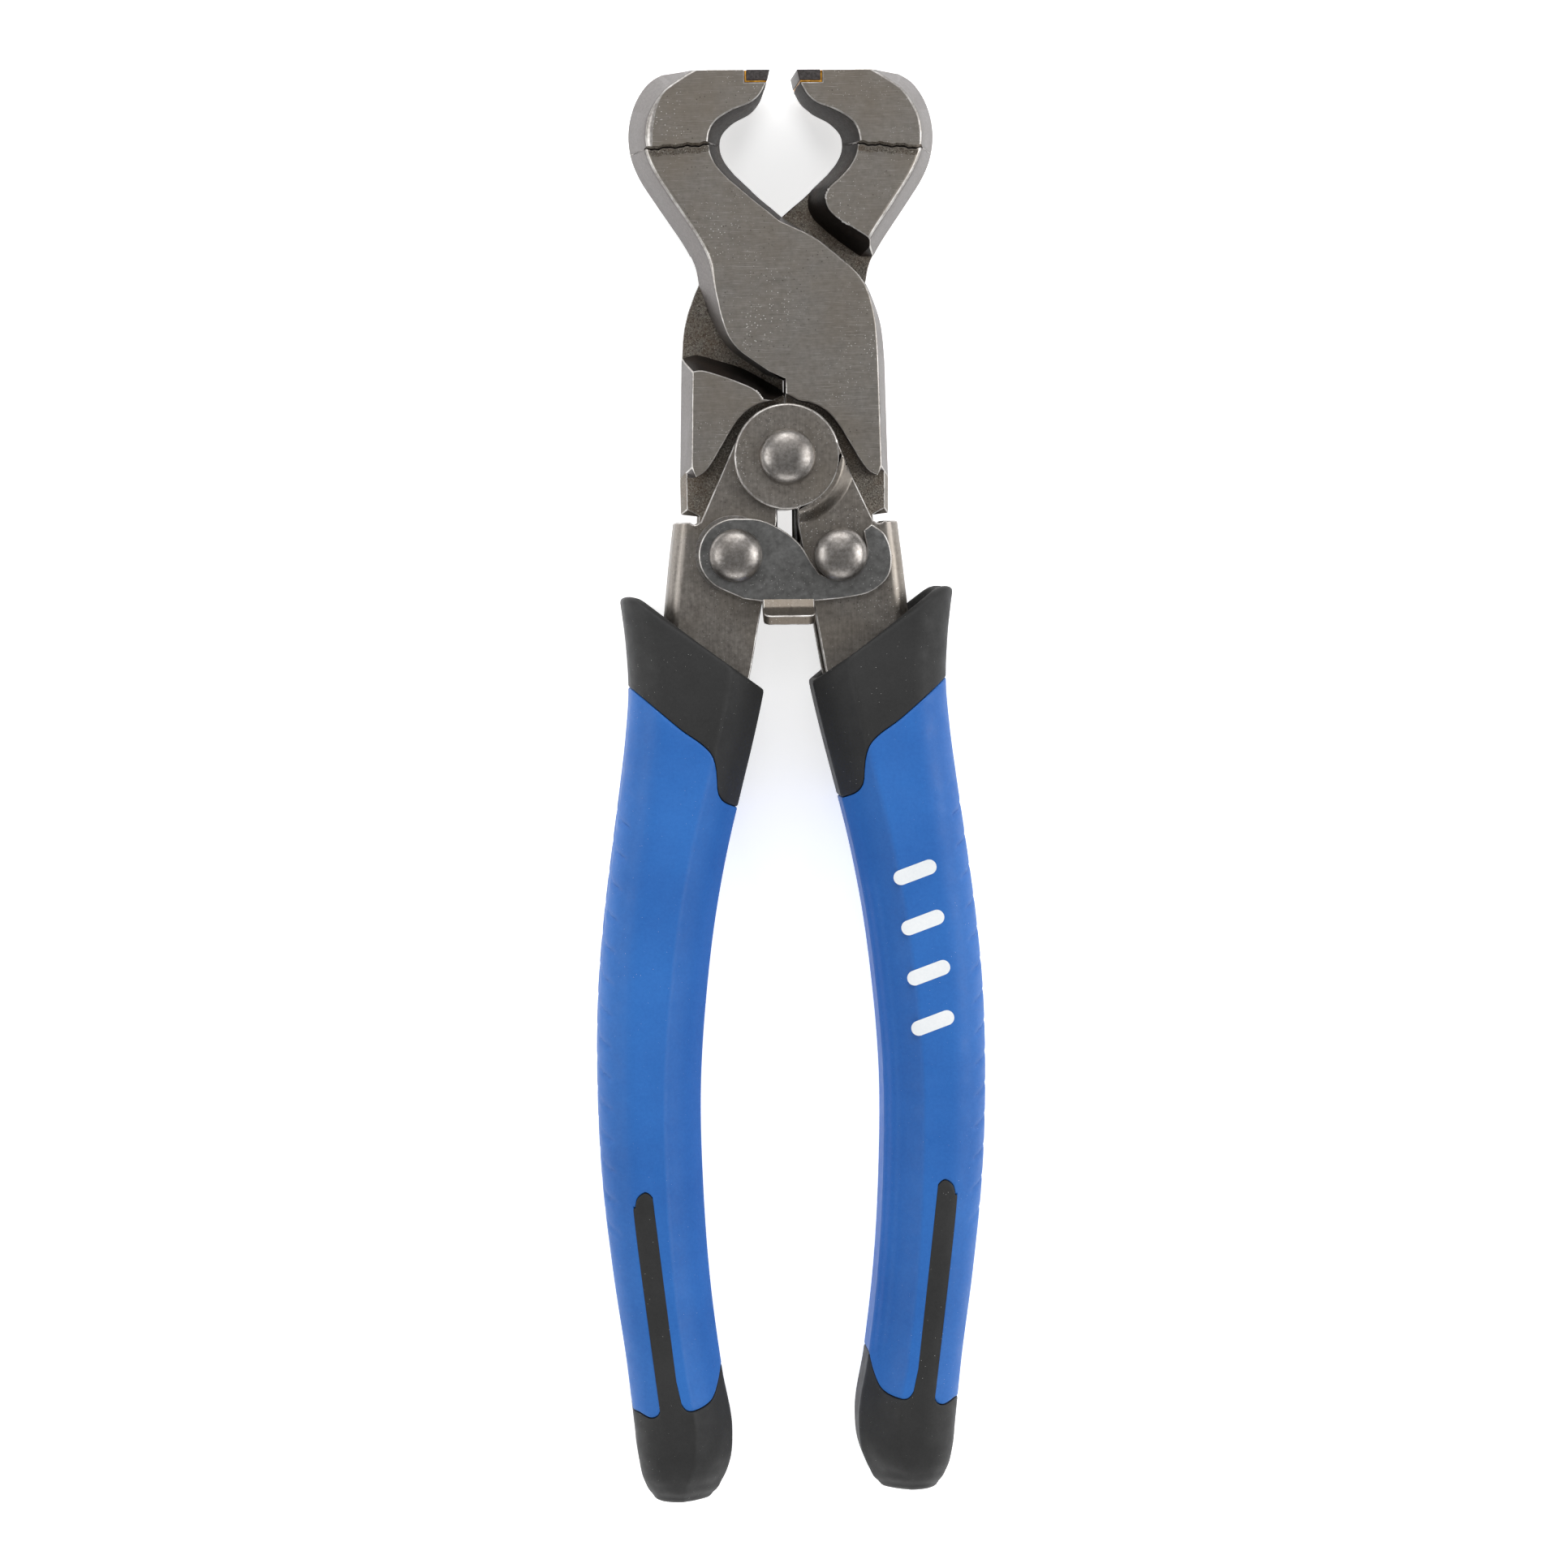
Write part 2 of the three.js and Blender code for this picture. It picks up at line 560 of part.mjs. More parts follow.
place(nippers, "front_jaw", jaw(RUNNING), STEEL);
place(turnedOver, "rear_jaw", jaw(PIN_RUNNING), STEEL);
place(nippers, "front_jaw_carbide_tip", carbideTip(), CARBIDE_GREY);
place(turnedOver, "rear_jaw_carbide_tip", carbideTip(), CARBIDE_GREY);
place(nippers, "front_jaw_braze", brazeSeam(), BRASS);
place(turnedOver, "rear_jaw_braze", brazeSeam(), BRASS);
place(nippers, "jaw_pivot_pin", disc(JAW_PIVOT, PIN_R, -PIN_HALF, PIN_HALF), BLUED);

place(nippers, "right_handle_frame", handleFrame(), STEEL);
place(turnedOver, "left_handle_frame", handleFrame(), STEEL);
place(nippers, "handle_pivot_rivet", handlePivotRivet(), STEEL);
place(nippers, "handle_pivot_bush", handlePivotBush(), BLUED);
place(nippers, "opening_spring", openingSpring(), BLUED);
place(nippers, "right_jaw_rivet", jawRivet(JAW_RIVET[0], NECK_R), STEEL);
place(nippers, "left_jaw_rivet", jawRivet(-JAW_RIVET[0], JAW_SHANK_R), STEEL);
place(nippers, "lock_latch", lockLatch(), BLUED);
place(nippers, "latch_washer", latchWasher(), BLUED);

place(nippers, "right_grip_core", gripCore(GRIP_SLIP), BLACK_RUBBER);
place(turnedOver, "left_grip_core", gripCore(-GRIP_SLIP), BLACK_RUBBER);
place(nippers, "right_grip_cover", gripCover(GRIP_SLIP), BLUE_RUBBER);
place(turnedOver, "left_grip_cover", gripCover(-GRIP_SLIP), BLUE_RUBBER);

export default nippers;
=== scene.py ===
"""Looks for the mosaic glass nippers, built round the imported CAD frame.

Shapes are drawn in millimetres about the tool's mid-plane, as in the CAD: +X right, +Y towards
the jaws, +Z out of the front. Pieces of the second jaw, frame and grip are the same drawings
turned over about the tool's centre line.
"""

import json
import math

import bmesh
import bpy
import numpy as np
from mathutils import Matrix, Vector


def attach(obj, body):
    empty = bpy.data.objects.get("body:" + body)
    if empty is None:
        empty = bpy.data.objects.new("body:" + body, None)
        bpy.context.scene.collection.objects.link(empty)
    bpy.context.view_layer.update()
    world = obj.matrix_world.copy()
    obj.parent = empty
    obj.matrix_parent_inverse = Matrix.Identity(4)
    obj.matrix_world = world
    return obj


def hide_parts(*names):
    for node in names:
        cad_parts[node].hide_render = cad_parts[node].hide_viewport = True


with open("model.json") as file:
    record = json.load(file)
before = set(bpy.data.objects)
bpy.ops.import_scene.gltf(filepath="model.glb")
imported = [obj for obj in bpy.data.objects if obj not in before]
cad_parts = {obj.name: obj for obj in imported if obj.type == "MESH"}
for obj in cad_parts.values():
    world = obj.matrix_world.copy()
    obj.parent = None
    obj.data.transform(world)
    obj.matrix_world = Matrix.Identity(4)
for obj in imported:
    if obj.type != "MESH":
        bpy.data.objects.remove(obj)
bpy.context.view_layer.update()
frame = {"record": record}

MM = 0.001
MID_PLANE = 10.5  # height of the tool's mid-plane at rest

# Driving dimensions, the same as the CAD's. A FACE is half a thickness, a GAP half a gap.
TOP_Y = 105.5
JAW_PIVOT = (0, 71.3)
HANDLE_PIVOT = (0, 49.1)
JAW_RIVET = (7.7, 34.7)
JAW_FACE = 7.2
NOSE_FACE = 8.5
LAP_GAP = 0.15
CHEEK_GAP = 0.01  # narrower than in the CAD, so that no light shows through the closed stop
TONGUE_FACE = 4.0
CHANNEL_INSIDE = 4.2
SHEET = 2.0
CHANNEL_OUTSIDE = CHANNEL_INSIDE + SHEET
EYE_LIFT = CHANNEL_OUTSIDE + 0.2
EYE_TOP = EYE_LIFT + SHEET
EYE_R = 7.8
CHANNEL_TOP_Y = 39.6
CHANNEL_END_Y = -88
HANDLE_SHANK_R = 3.0
JAW_SHANK_R = 2.5
NECK_R = 2.3
RUNNING = 0.06
PIN_R = 4.5
PIN_HALF = 5.0
WASHER_Z = CHANNEL_OUTSIDE + 0.05
WASHER_THICK = 0.35
LATCH_Z = WASHER_Z + WASHER_THICK + 0.05
LATCH_TOP = LATCH_Z + 1.6
GRIP_FACE = 10.5
COVER_THICK = 1.8
GRIP_SLIP = 0.6

TIP_X = -2.0  # the carbide bar lies between these two
CARBIDE_BACK = -5.4
CARBIDE_DEPTH = 1.55
SEAM = 0.25  # thickness of the brass
SEAT_FIT = 0.06  # two clearances, between bar, brass and seat

# Places of the materials in a jaw's list; the first two serve the other steel pieces too.
PLACES = 5
# The last place is painted shade, for the walls of the recess and the mouth and the step's groove.
FLAT, RIM, BLASTED, WALL, PAINTED_SHADE_PLACE = range(PLACES)

WELD = 0.002  # points nearer than this are one point
SHORTEST_EDGE = 0.03


# ---- curves and outlines ----


def catmull(points, steps):
    """Centripetal spline through the points, with that many steps to each span."""
    pts = [np.array(p, float) for p in points]
    pts = [2 * pts[0] - pts[1]] + pts + [2 * pts[-1] - pts[-2]]
    out = []
    for k in range(1, len(pts) - 2):
        p0, p1, p2, p3 = pts[k - 1 : k + 3]
        d0, d1, d2 = (max(np.linalg.norm(b - a), 1e-6) ** 0.5 for a, b in ((p0, p1), (p1, p2), (p2, p3)))
        m1 = ((p1 - p0) / d0 - (p2 - p0) / (d0 + d1) + (p2 - p1) / d1) * d1
        m2 = ((p2 - p1) / d1 - (p3 - p1) / (d1 + d2) + (p3 - p2) / d2) * d1
        for s in range(steps):
            t = s / steps
            out.append((2 * t**3 - 3 * t**2 + 1) * p1 + (t**3 - 2 * t**2 + t) * m1
                       + (3 * t**2 - 2 * t**3) * p2 + (t**3 - t**2) * m2)
    out.append(pts[-2])
    return out


def padded(point):
    """x, y and the lean of the side, which is 0 if it isn't given."""
    return np.array(list(point) + [0.0] * (3 - len(point)), float)


def curve(steps, *points):
    return catmull([padded(p) for p in points], steps)


def line(*points):
    return [padded(p) for p in points]


def arc(centre, radius, start, end, steps):
    angles = np.radians(np.linspace(start, end, steps + 1))
    return [padded((centre[0] + radius * math.cos(a), centre[1] + radius * math.sin(a))) for a in angles]


def area(points):
    x, y = np.array(points)[:, 0], np.array(points)[:, 1]
    return 0.5 * float(np.sum(x * np.roll(y, -1) - np.roll(x, -1) * y))


def outline(*runs):
    """One closed counter-clockwise outline from runs of points, without doubled points."""
    every = [p for run in runs for p in run]
    kept = [p for i, p in enumerate(every) if np.linalg.norm(p[:2] - every[(i + 1) % len(every)][:2]) > 0.02]
    return kept[::-1] if area(kept) < 0 else kept


def inset(points, distances):
    """Moves each point inwards along the mitre of its two sides."""
    p = np.array(points)[:, :2]
    along = np.roll(p, -1, 0) - p
    along /= np.linalg.norm(along, axis=1)[:, None]
    side = np.stack([-along[:, 1], along[:, 0]], 1)
    mitre = side + np.roll(side, 1, 0)
    length = np.maximum((mitre**2).sum(1), 1.2)
    return p + mitre * (2 * np.asarray(distances) / length)[:, None]


# ---- meshes, in millimetres ----


def new_object(name, vertices, faces, indices=None):
    """A mesh object; indices gives each face's place in the piece's list of materials."""
    mesh = bpy.data.meshes.new(name)
    mesh.from_pydata([tuple(map(float, v)) for v in vertices], [], faces)
    for _ in range(PLACES):
        mesh.materials.append(None)
    if indices is not None:
        mesh.polygons.foreach_set("material_index", np.array(indices, np.int32))
    mesh.update()
    made = bpy.data.objects.new(name, mesh)
    bpy.context.scene.collection.objects.link(made)
    return made


def face_out(made):
    """Merges doubled points and turns the faces of a closed mesh outwards."""
    work = bmesh.new()
    work.from_mesh(made.data)
    bmesh.ops.remove_doubles(work, verts=work.verts, dist=WELD)
    bmesh.ops.recalc_face_normals(work, faces=work.faces)
    work.to_mesh(made.data)
    work.free()
    return made


def loft(name, rings, bands=None, cap=0, closed=False):
    """Skins rings of equal length; bands is each band's material place.

    A closed loft joins its last ring to its first, any other gets a cap at both ends.
    """
    count, total = len(rings[0]), len(rings)
    vertices = np.concatenate([np.asarray(r, float) for r in rings])
    faces, indices = [], []
    for r in range(total if closed else total - 1):
        a, b = r * count, (r + 1) % total * count
        for i in range(count):
            j = (i + 1) % count
            faces.append((a + i, a + j, b + j, b + i))
            indices.append(bands[r] if bands else 0)
    if not closed:
        faces.append(tuple(range(count - 1, -1, -1)))
        faces.append(tuple(range((total - 1) * count, total * count)))
        indices += [cap, cap]
    return face_out(new_object(name, vertices, faces, indices))


def at_height(points, z):
    p = np.array(points)[:, :2]
    return np.column_stack([p, np.full(len(p), float(z))])


def slab(name, points, low, high, side=0, cap=0):
    return loft(name, [at_height(points, low), at_height(points, high)], [side], cap)


def drafted_slab(name, points, face, round_over, crown=(FLAT, RIM)):
    """A slab whose sides lean in towards both faces, with rounded rims in the crown's materials."""
    lean = np.array(points)[:, 2]
    radius = np.array([round_over(p) for p in points])
    half = [(0 * radius, 0 * radius)]
    for angle in np.radians([0, 30, 60, 90]):
        z = face - radius + radius * math.sin(angle)
        half.append((z, lean * z / face + radius * (1 - math.cos(angle))))
    levels = [(-z, i) for z, i in half[:0:-1]] + half
    rings = [np.column_stack([inset(points, i), z]) for z, i in levels]
    return loft(name, rings, [*crown, WALL, WALL, WALL, WALL, *crown[::-1]], FLAT)


def lathe(name, profile, centre, segments=96, bands=None):
    """A turned piece: [radius, height] pairs that start and end on the axis."""
    vertices, faces, indices, rows = [], [], [], []
    for r, z in profile:
        if r < 1e-6:
            rows.append([len(vertices)])
            vertices.append((centre[0], centre[1], z))
        else:
            rows.append(list(range(len(vertices), len(vertices) + segments)))
            for k in range(segments):
                a = 2 * math.pi * k / segments
                vertices.append((centre[0] + r * math.cos(a), centre[1] + r * math.sin(a), z))
    for n, (low, high) in enumerate(zip(rows, rows[1:])):
        for k in range(segments):
            j = (k + 1) % segments
            around = (low[k % len(low)], low[j % len(low)], high[j % len(high)], high[k % len(high)])
            corners = tuple(dict.fromkeys(around))
            if len(corners) > 2:
                faces.append(corners)
                indices.append(bands[n] if bands else 0)
    return face_out(new_object(name, vertices, faces, indices))


def cylinder(centre, radius, low, high, place=0, segments=96):
    made = lathe("cylinder", [(0, low), (radius, low), (radius, high), (0, high)], centre, segments)
    made.data.polygons.foreach_set("material_index", np.full(len(made.data.polygons), place, np.int32))
    return made


def box(low, high, place=0):
    (x0, y0, z0), (x1, y1, z1) = low, high
    return slab("box", line((x0, y0), (x1, y0), (x1, y1), (x0, y1)), z0, z1, place, place)


def apply_modifiers(made):
    graph = bpy.context.evaluated_depsgraph_get()
    graph.update()
    mesh = bpy.data.meshes.new_from_object(made.evaluated_get(graph))
    made.modifiers.clear()
    old, made.data = made.data, mesh
    bpy.data.meshes.remove(old)
    return made


def boolean(operation, first, *others):
    for other in others:
        step = first.modifiers.new("step", "BOOLEAN")
        step.operation, step.object, step.solver = operation, other, "EXACT"
        step.material_mode = "INDEX"
        apply_modifiers(first)
        bpy.data.objects.remove(other)
    return first


def join(first, *others):
    return boolean("UNION", first, *others)


def cut(first, *others):
    return boolean("DIFFERENCE", first, *others)


# Rounded edges go to the rim place, whose steel carries wear and a painted highlight.
def soften(made, width, angle=38, segments=2, place=RIM, wanted=lambda middle: True):
    """Merges flat neighbours, then rounds the wanted sharp outer edges in a material of their own."""
    work = bmesh.new()
    work.from_mesh(made.data)
    bmesh.ops.remove_doubles(work, verts=work.verts, dist=SHORTEST_EDGE)
    bmesh.ops.dissolve_limit(work, angle_limit=math.radians(0.5), verts=work.verts, edges=work.edges,
                             delimit={"MATERIAL"})
    bmesh.ops.dissolve_degenerate(work, dist=SHORTEST_EDGE, edges=work.edges)
    weight = work.edges.layers.float.new("bevel_weight_edge")
    for edge in work.edges:
        sharp = len(edge.link_faces) == 2 and edge.calc_face_angle_signed() > math.radians(angle)
        if sharp and wanted((edge.verts[0].co + edge.verts[1].co) / 2):
            edge[weight] = 1.0
    work.to_mesh(made.data)
    work.free()
    step = made.modifiers.new("round", "BEVEL")
    step.width, step.segments, step.limit_method, step.material = width, segments, "WEIGHT", place
    step.use_clamp_overlap = False
    return apply_modifiers(made)


def piece(made, name, node, materials, turned_over=False, smooth=32, weighted=True):
    """Finishes a piece: metres, materials, smooth shading, and the CAD node that it stands for."""
    if turned_over:
        made.data.transform(Matrix.Rotation(math.pi, 4, "Y"))
    made.data.transform(Matrix.Scale(MM, 4) @ Matrix.Translation((0, 0, MID_PLANE)))
    made.name = made.data.name = name
    places = [min(p.material_index, len(materials) - 1) for p in made.data.polygons]
    made.data.materials.clear()
    for material in materials:
        made.data.materials.append(material)
    made.data.polygons.foreach_set("material_index", places)
    made.data.shade_smooth()
    made.data.set_sharp_from_angle(angle=math.radians(smooth))
    if weighted:
        step = made.modifiers.new("normals", "WEIGHTED_NORMAL")
        step.keep_sharp = True
        apply_modifiers(made)
    body = next(b for b, nodes in frame["record"]["behaviour"]["bodies"].items() if node in nodes)
    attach(made, body)
    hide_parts(node)
    return made


# ---- materials ----


class Nodes:
    """A new material and short ways to add nodes to it."""

    def __init__(self, name):
        self.material = bpy.data.materials.new(name)
        self.material.use_nodes = True
        self.tree = self.material.node_tree
        self.shader = self.tree.nodes["Principled BSDF"]
        self.place = self.tree.nodes.new("ShaderNodeTexCoord").outputs["Object"]

    def link(self, source, target):
        if hasattr(source, "is_output"):
            self.tree.links.new(source, target)
        else:
            target.default_value = source

    def scaled(self, x, y, z, turn=0):
        """Object coordinates stretched by x, y and z, after a turn about Z in degrees."""
        node = self.tree.nodes.new("ShaderNodeMapping")
        node.vector_type = "TEXTURE"
        node.inputs["Rotation"].default_value = (0, 0, math.radians(turn))
        node.inputs["Scale"].default_value = (1 / x, 1 / y, 1 / z)
        self.tree.links.new(self.place, node.inputs["Vector"])
        return node.outputs["Vector"]

    def noise(self, scale, detail=3, rough=0.5, vector=None):
        node = self.tree.nodes.new("ShaderNodeTexNoise")
        node.inputs["Scale"].default_value = scale
        node.inputs["Detail"].default_value = detail
        node.inputs["Roughness"].default_value = rough
        self.tree.links.new(vector or self.place, node.inputs["Vector"])
        return node.outputs["Fac"]

    def cells(self, scale):
        node = self.tree.nodes.new("ShaderNodeTexVoronoi")
        node.inputs["Scale"].default_value = scale
        self.tree.links.new(self.place, node.inputs["Vector"])
        return node.outputs["Distance"]

    def span(self, value, low, high, to_low=0.0, to_high=1.0):
        node = self.tree.nodes.new("ShaderNodeMapRange")
        for name, number in (("From Min", low), ("From Max", high), ("To Min", to_low), ("To Max", to_high)):
            node.inputs[name].default_value = number
        self.tree.links.new(value, node.inputs["Value"])
        return node.outputs["Result"]

    def math(self, operation, a, b=0.0):
        node = self.tree.nodes.new("ShaderNodeMath")
        node.operation = operation
        self.link(a, node.inputs[0])
        self.link(b, node.inputs[1])
        return node.outputs[0]

    def mix(self, amount, a, b):
        node = self.tree.nodes.new("ShaderNodeMix")
        node.data_type = "RGBA"
        colour_a, colour_b, result = node.inputs[6], node.inputs[7], node.outputs[2]
        self.link(amount, node.inputs["Factor"])
        self.link(a, colour_a)
        self.link(b, colour_b)
        return result

    def between(self, value, low, high, dark, light):
        """A colour that goes from dark to light as the value goes from low to high."""
        return self.mix(self.span(value, low, high), rgb(dark), rgb(light))

    def stain(self, colour, value, low, high, most, code):
        """The colour, with up to that share of another where the value is high."""
        return self.mix(self.span(value, low, high, 0, most), colour, rgb(code))

    def weighted(self, a, share, b):
        """That share of a, and the rest of b."""
        return self.math("ADD", self.math("MULTIPLY", a, share), self.math("MULTIPLY", b, 1 - share))

    def pits(self, size, low, patch, bare):
        """Small round pits in patches; bare is the share of the surface without them."""
        holes = self.span(self.cells(size), low, 0.2, 1, 0)
        return self.math("MULTIPLY", holes, self.math("GREATER_THAN", self.noise(patch, 3), bare))

    def bump(self, height, strength, distance):
        node = self.tree.nodes.new("ShaderNodeBump")
        node.inputs["Strength"].default_value = strength
        node.inputs["Distance"].default_value = distance
        self.tree.links.new(height, node.inputs["Height"])
        return node.outputs["Normal"]

    def finish(self, colour, roughness, metallic=0.0, normal=None, **sockets):
        self.link(colour, self.shader.inputs["Base Color"])
        self.link(roughness, self.shader.inputs["Roughness"])
        self.shader.inputs["Metallic"].default_value = metallic
        if normal is not None:
            self.tree.links.new(normal, self.shader.inputs["Normal"])
        for name, value in sockets.items():
            self.shader.inputs[name.replace("_", " ")].default_value = value
        return self.material


def rgb(code):
    """A colour's linear values from its sRGB code."""
    values = [int(code[i : i + 2], 16) / 255 for i in (0, 2, 4)]
    return [v / 12.92 if v < 0.04045 else ((v + 0.055) / 1.055) ** 2.4 for v in values] + [1.0]


def dusted(nodes, colour, amount, size, tint="f4f2ee"):
    """Tiny pale specks of dust and grit scattered over a colour."""
    cells = nodes.cells(size)
    patchy = nodes.noise(size / 22, 2)
    reach = nodes.span(patchy, 0.35, 0.75, 0.02, amount)
    speck = nodes.math("LESS_THAN", cells, reach)
    return nodes.mix(nodes.math("MULTIPLY", speck, 0.8), colour, rgb(tint))


def ground_steel():
    """Flat faces, ground across the tool."""
    n = Nodes("ground_steel")
    streak = n.noise(1, 4, 0.6, n.scaled(170, 7000, 900, 3))
    hair = n.noise(1, 2, 0.5, n.scaled(330, 14000, 1500, -2))
    patch = n.noise(85, 4, 0.6)
    mottle = n.noise(1500, 4, 0.6)
    tone = n.weighted(streak, 0.5, mottle)
    colour = n.between(tone, 0.3, 0.72, "7c7772", "9b9791")
    colour = n.stain(colour, patch, 0.38, 0.7, 0.5, "857a6c")
    colour = n.stain(colour, hair, 0.62, 0.72, 0.28, "d8d5d0")
    pit = n.pits(1500, 0.1, 260, 0.57)
    colour = n.mix(n.math("MULTIPLY", pit, 0.5), colour, rgb("3a3531"))
    colour = dusted(n, colour, 0.19, 2300)
    rough = n.span(tone, 0.3, 0.7, 0.42, 0.52)
    ridges = n.math("ADD", streak, n.math("MULTIPLY", hair, 0.4))
    height = n.math("SUBTRACT", ridges, n.math("MULTIPLY", pit, 0.8))
    return n.finish(colour, rough, 1.0, n.bump(height, 0.16, 0.00003))


def side_steel():
    """Drafted forged sides: satin and slightly pebbled."""
    n = Nodes("side_steel")
    grain = n.noise(2600, 3, 0.6)
    broad = n.noise(160, 4, 0.6)
    tone = n.weighted(grain, 0.5, broad)
    colour = n.between(tone, 0.35, 0.68, "666261", "84807e")
    colour = dusted(n, colour, 0.05, 2600)
    return n.finish(colour, n.span(broad, 0.3, 0.7, 0.42, 0.58), 1.0, n.bump(grain, 0.25, 0.00006))


def sand_steel():
    """Blasted recess floors and the tongue: grainy, brownish in places."""
    n = Nodes("sand_steel")
    grain = n.noise(4200, 3, 0.7)
    pits = n.cells(3800)
    broad = n.noise(240, 3, 0.6)
    colour = n.between(grain, 0.35, 0.65, "4b4640", "9a948b")
    colour = n.stain(colour, broad, 0.4, 0.75, 0.6, "6b5a48")
    glint = n.math("GREATER_THAN", n.noise(5200, 1), 0.66)
    colour = n.mix(n.math("MULTIPLY", glint, 0.5), colour, rgb("c5c0b8"))
    height = n.math("ADD", grain, n.math("MULTIPLY", pits, 0.6))
    return n.finish(colour, n.span(grain, 0.3, 0.7, 0.5, 0.72), 1.0, n.bump(height, 0.6, 0.0001))


def painted_shade_steel():
    """Painted shade: near-black steel, brownish in patches, for the walls of the recess and the mouth and the
    groove at the foot of the nose step.
    """
    n = Nodes("painted_shade_steel")
    grain = n.noise(2400, 3, 0.6)
    broad = n.noise(260, 3, 0.6)
    colour = n.between(grain, 0.35, 0.65, "2a2624", "3d3835")
    colour = n.stain(colour, broad, 0.45, 0.75, 0.6, "4b4038")
    return n.finish(colour, n.span(grain, 0.3, 0.7, 0.5, 0.66), 1.0, n.bump(grain, 0.3, 0.00007))


def edge_wear_and_highlight_steel():
    """Rims worn bright by handling, and lighter still as a painted highlight along the rounded edges."""
    n = Nodes("edge_wear_and_highlight_steel")
    nick = n.noise(2600, 3, 0.6)
    worn = n.noise(420, 3, 0.6)
    colour = n.between(nick, 0.3, 0.7, "8f8a85", "bdb9b5")
    # Lighter patches: partly wear, partly painted highlight.
    colour = n.stain(colour, worn, 0.45, 0.62, 0.7, "dcdad7")
    return n.finish(colour, n.span(nick, 0.3, 0.7, 0.36, 0.48), 1.0, n.bump(nick, 0.15, 0.00004))


def sheet_steel(name, dark, light, brown):
    """Pressed and tumbled handle sheet."""
    n = Nodes(name)
    drawn = n.noise(1, 3, 0.55, n.scaled(3600, 160, 900))
    mottle = n.noise(1700, 4, 0.6)
    patch = n.noise(95, 3, 0.55)
    tone = n.weighted(drawn, 0.35, mottle)
    colour = n.between(tone, 0.32, 0.7, dark, light)
    colour = n.stain(colour, patch, 0.42, 0.75, 0.5, brown)
    pit = n.pits(1700, 0.08, 330, 0.54)
    colour = n.mix(n.math("MULTIPLY", pit, 0.55), colour, rgb("35302c"))
    colour = dusted(n, colour, 0.19, 2500)
    height = n.math("SUBTRACT", tone, n.math("MULTIPLY", pit, 0.6))
    return n.finish(colour, n.span(mottle, 0.3, 0.7, 0.38, 0.5), 1.0, n.bump(height, 0.2, 0.00005))


def rivet_steel():
    n = Nodes("rivet_steel")
    grain = n.noise(1900, 4, 0.65)
    broad = n.noise(320, 3, 0.6)
    colour = n.between(grain, 0.3, 0.7, "7b7672", "a39f9b")
    colour = n.stain(colour, broad, 0.5, 0.75, 0.5, "6b655f")
    colour = dusted(n, colour, 0.12, 2400)
    return n.finish(colour, n.span(broad, 0.3, 0.7, 0.34, 0.46), 1.0, n.bump(grain, 0.25, 0.00006))


def blued_steel():
    """The latch and hidden small parts: dark oxide with scuffs."""
    n = Nodes("blued_steel")
    scuff = n.noise(1, 3, 0.6, n.scaled(420, 2600, 900, 24))
    mottle = n.noise(1300, 4, 0.6)
    broad = n.noise(140, 3, 0.55)
    colour = n.between(mottle, 0.3, 0.72, "6e6e6d", "888887")
    colour = n.stain(colour, broad, 0.4, 0.75, 0.4, "575654")
    colour = n.stain(colour, scuff, 0.64, 0.76, 0.35, "a5a5a4")
    colour = dusted(n, colour, 0.14, 2300)
    return n.finish(colour, n.span(mottle, 0.3, 0.7, 0.4, 0.5), 1.0, n.bump(mottle, 0.15, 0.00004))


def carbide():
    n = Nodes("carbide")
    grain = n.noise(2800, 3, 0.6)
    colour = n.between(grain, 0.35, 0.65, "4c4847", "625e5d")
    return n.finish(colour, n.span(grain, 0.3, 0.7, 0.35, 0.5), 1.0, n.bump(grain, 0.15, 0.00004))


def braze():
    n = Nodes("braze")
    flow = n.noise(900, 4, 0.6)
    colour = n.between(flow, 0.35, 0.65, "9a6220", "eab054")
    return n.finish(colour, n.span(flow, 0.3, 0.7, 0.3, 0.5), 1.0, n.bump(flow, 0.5, 0.0001))


def rubber(name, dark, light, dust, grain_size=2100, rough=(0.5, 0.64)):
    n = Nodes(name)
    grain = n.noise(grain_size, 3, 0.6)
    broad = n.noise(60, 4, 0.6)
    rub = n.noise(420, 4, 0.6)
    tone = n.weighted(broad, 0.7, grain)
    colour = n.between(tone, 0.35, 0.66, dark, light)
    colour = dusted(n, colour, dust, 1500)
    roughness = n.span(rub, 0.3, 0.7, *rough)
    return n.finish(colour, roughness, 0.0, n.bump(grain, 0.22, 0.00005), Specular_IOR_Level=0.42)


GROUND, EDGE, SAND, SIDE, PAINTED_SHADE = ground_steel(), edge_wear_and_highlight_steel(), sand_steel(), side_steel(), painted_shade_steel()
SHEETED = sheet_steel("sheet_steel", "7b7570", "9b968f", "7f7567")
# Darker and browner than the plate steel, for the latch's thumb tab.
DARK_BROWN_TAB = sheet_steel("dark_brown_tab_steel", "5f5953", "7d766e", "6f6455")
RIVET, BLUED = rivet_steel(), blued_steel()
CARBIDE, BRAZE = carbide(), braze()
BLACK = rubber("black_rubber", "1d1d1d", "2a2a2a", 0.06, 2600, (0.55, 0.7))
BLUE = rubber("blue_rubber", "1c5ca8", "276ab8", 0.045)
PRINT = rubber("white_print", "dfe3e6", "eef0f1", 0.0)


# ---- jaws: drawn as the front jaw, head on the left and tail on the right ----


def mouth_edge():
    """Inner side of the head, from above the tip down to the crotch."""
    return (
        line((-1.7, TOP_Y + 3, 0.1), (TIP_X, TOP_Y, 0.1))
        + curve(6, (-2.3, 103.4, 0.2), (-3.1, 101.4, 0.5), (-4.4, 99.8, 0.9), (-7.2, 98.2, 1.3),
                (-8.8, 96.4, 1.8), (-9.0, 94.4, 1.9), (-8.3, 92.6, 1.8), (-6.9, 90.8, 1.6))
        + line((-5.0, 89.0, 1.45), (-3.1, 87.2, 1.3), (-1.5, 85.9, 1.25), (0, 84.6, 1.2))
    )


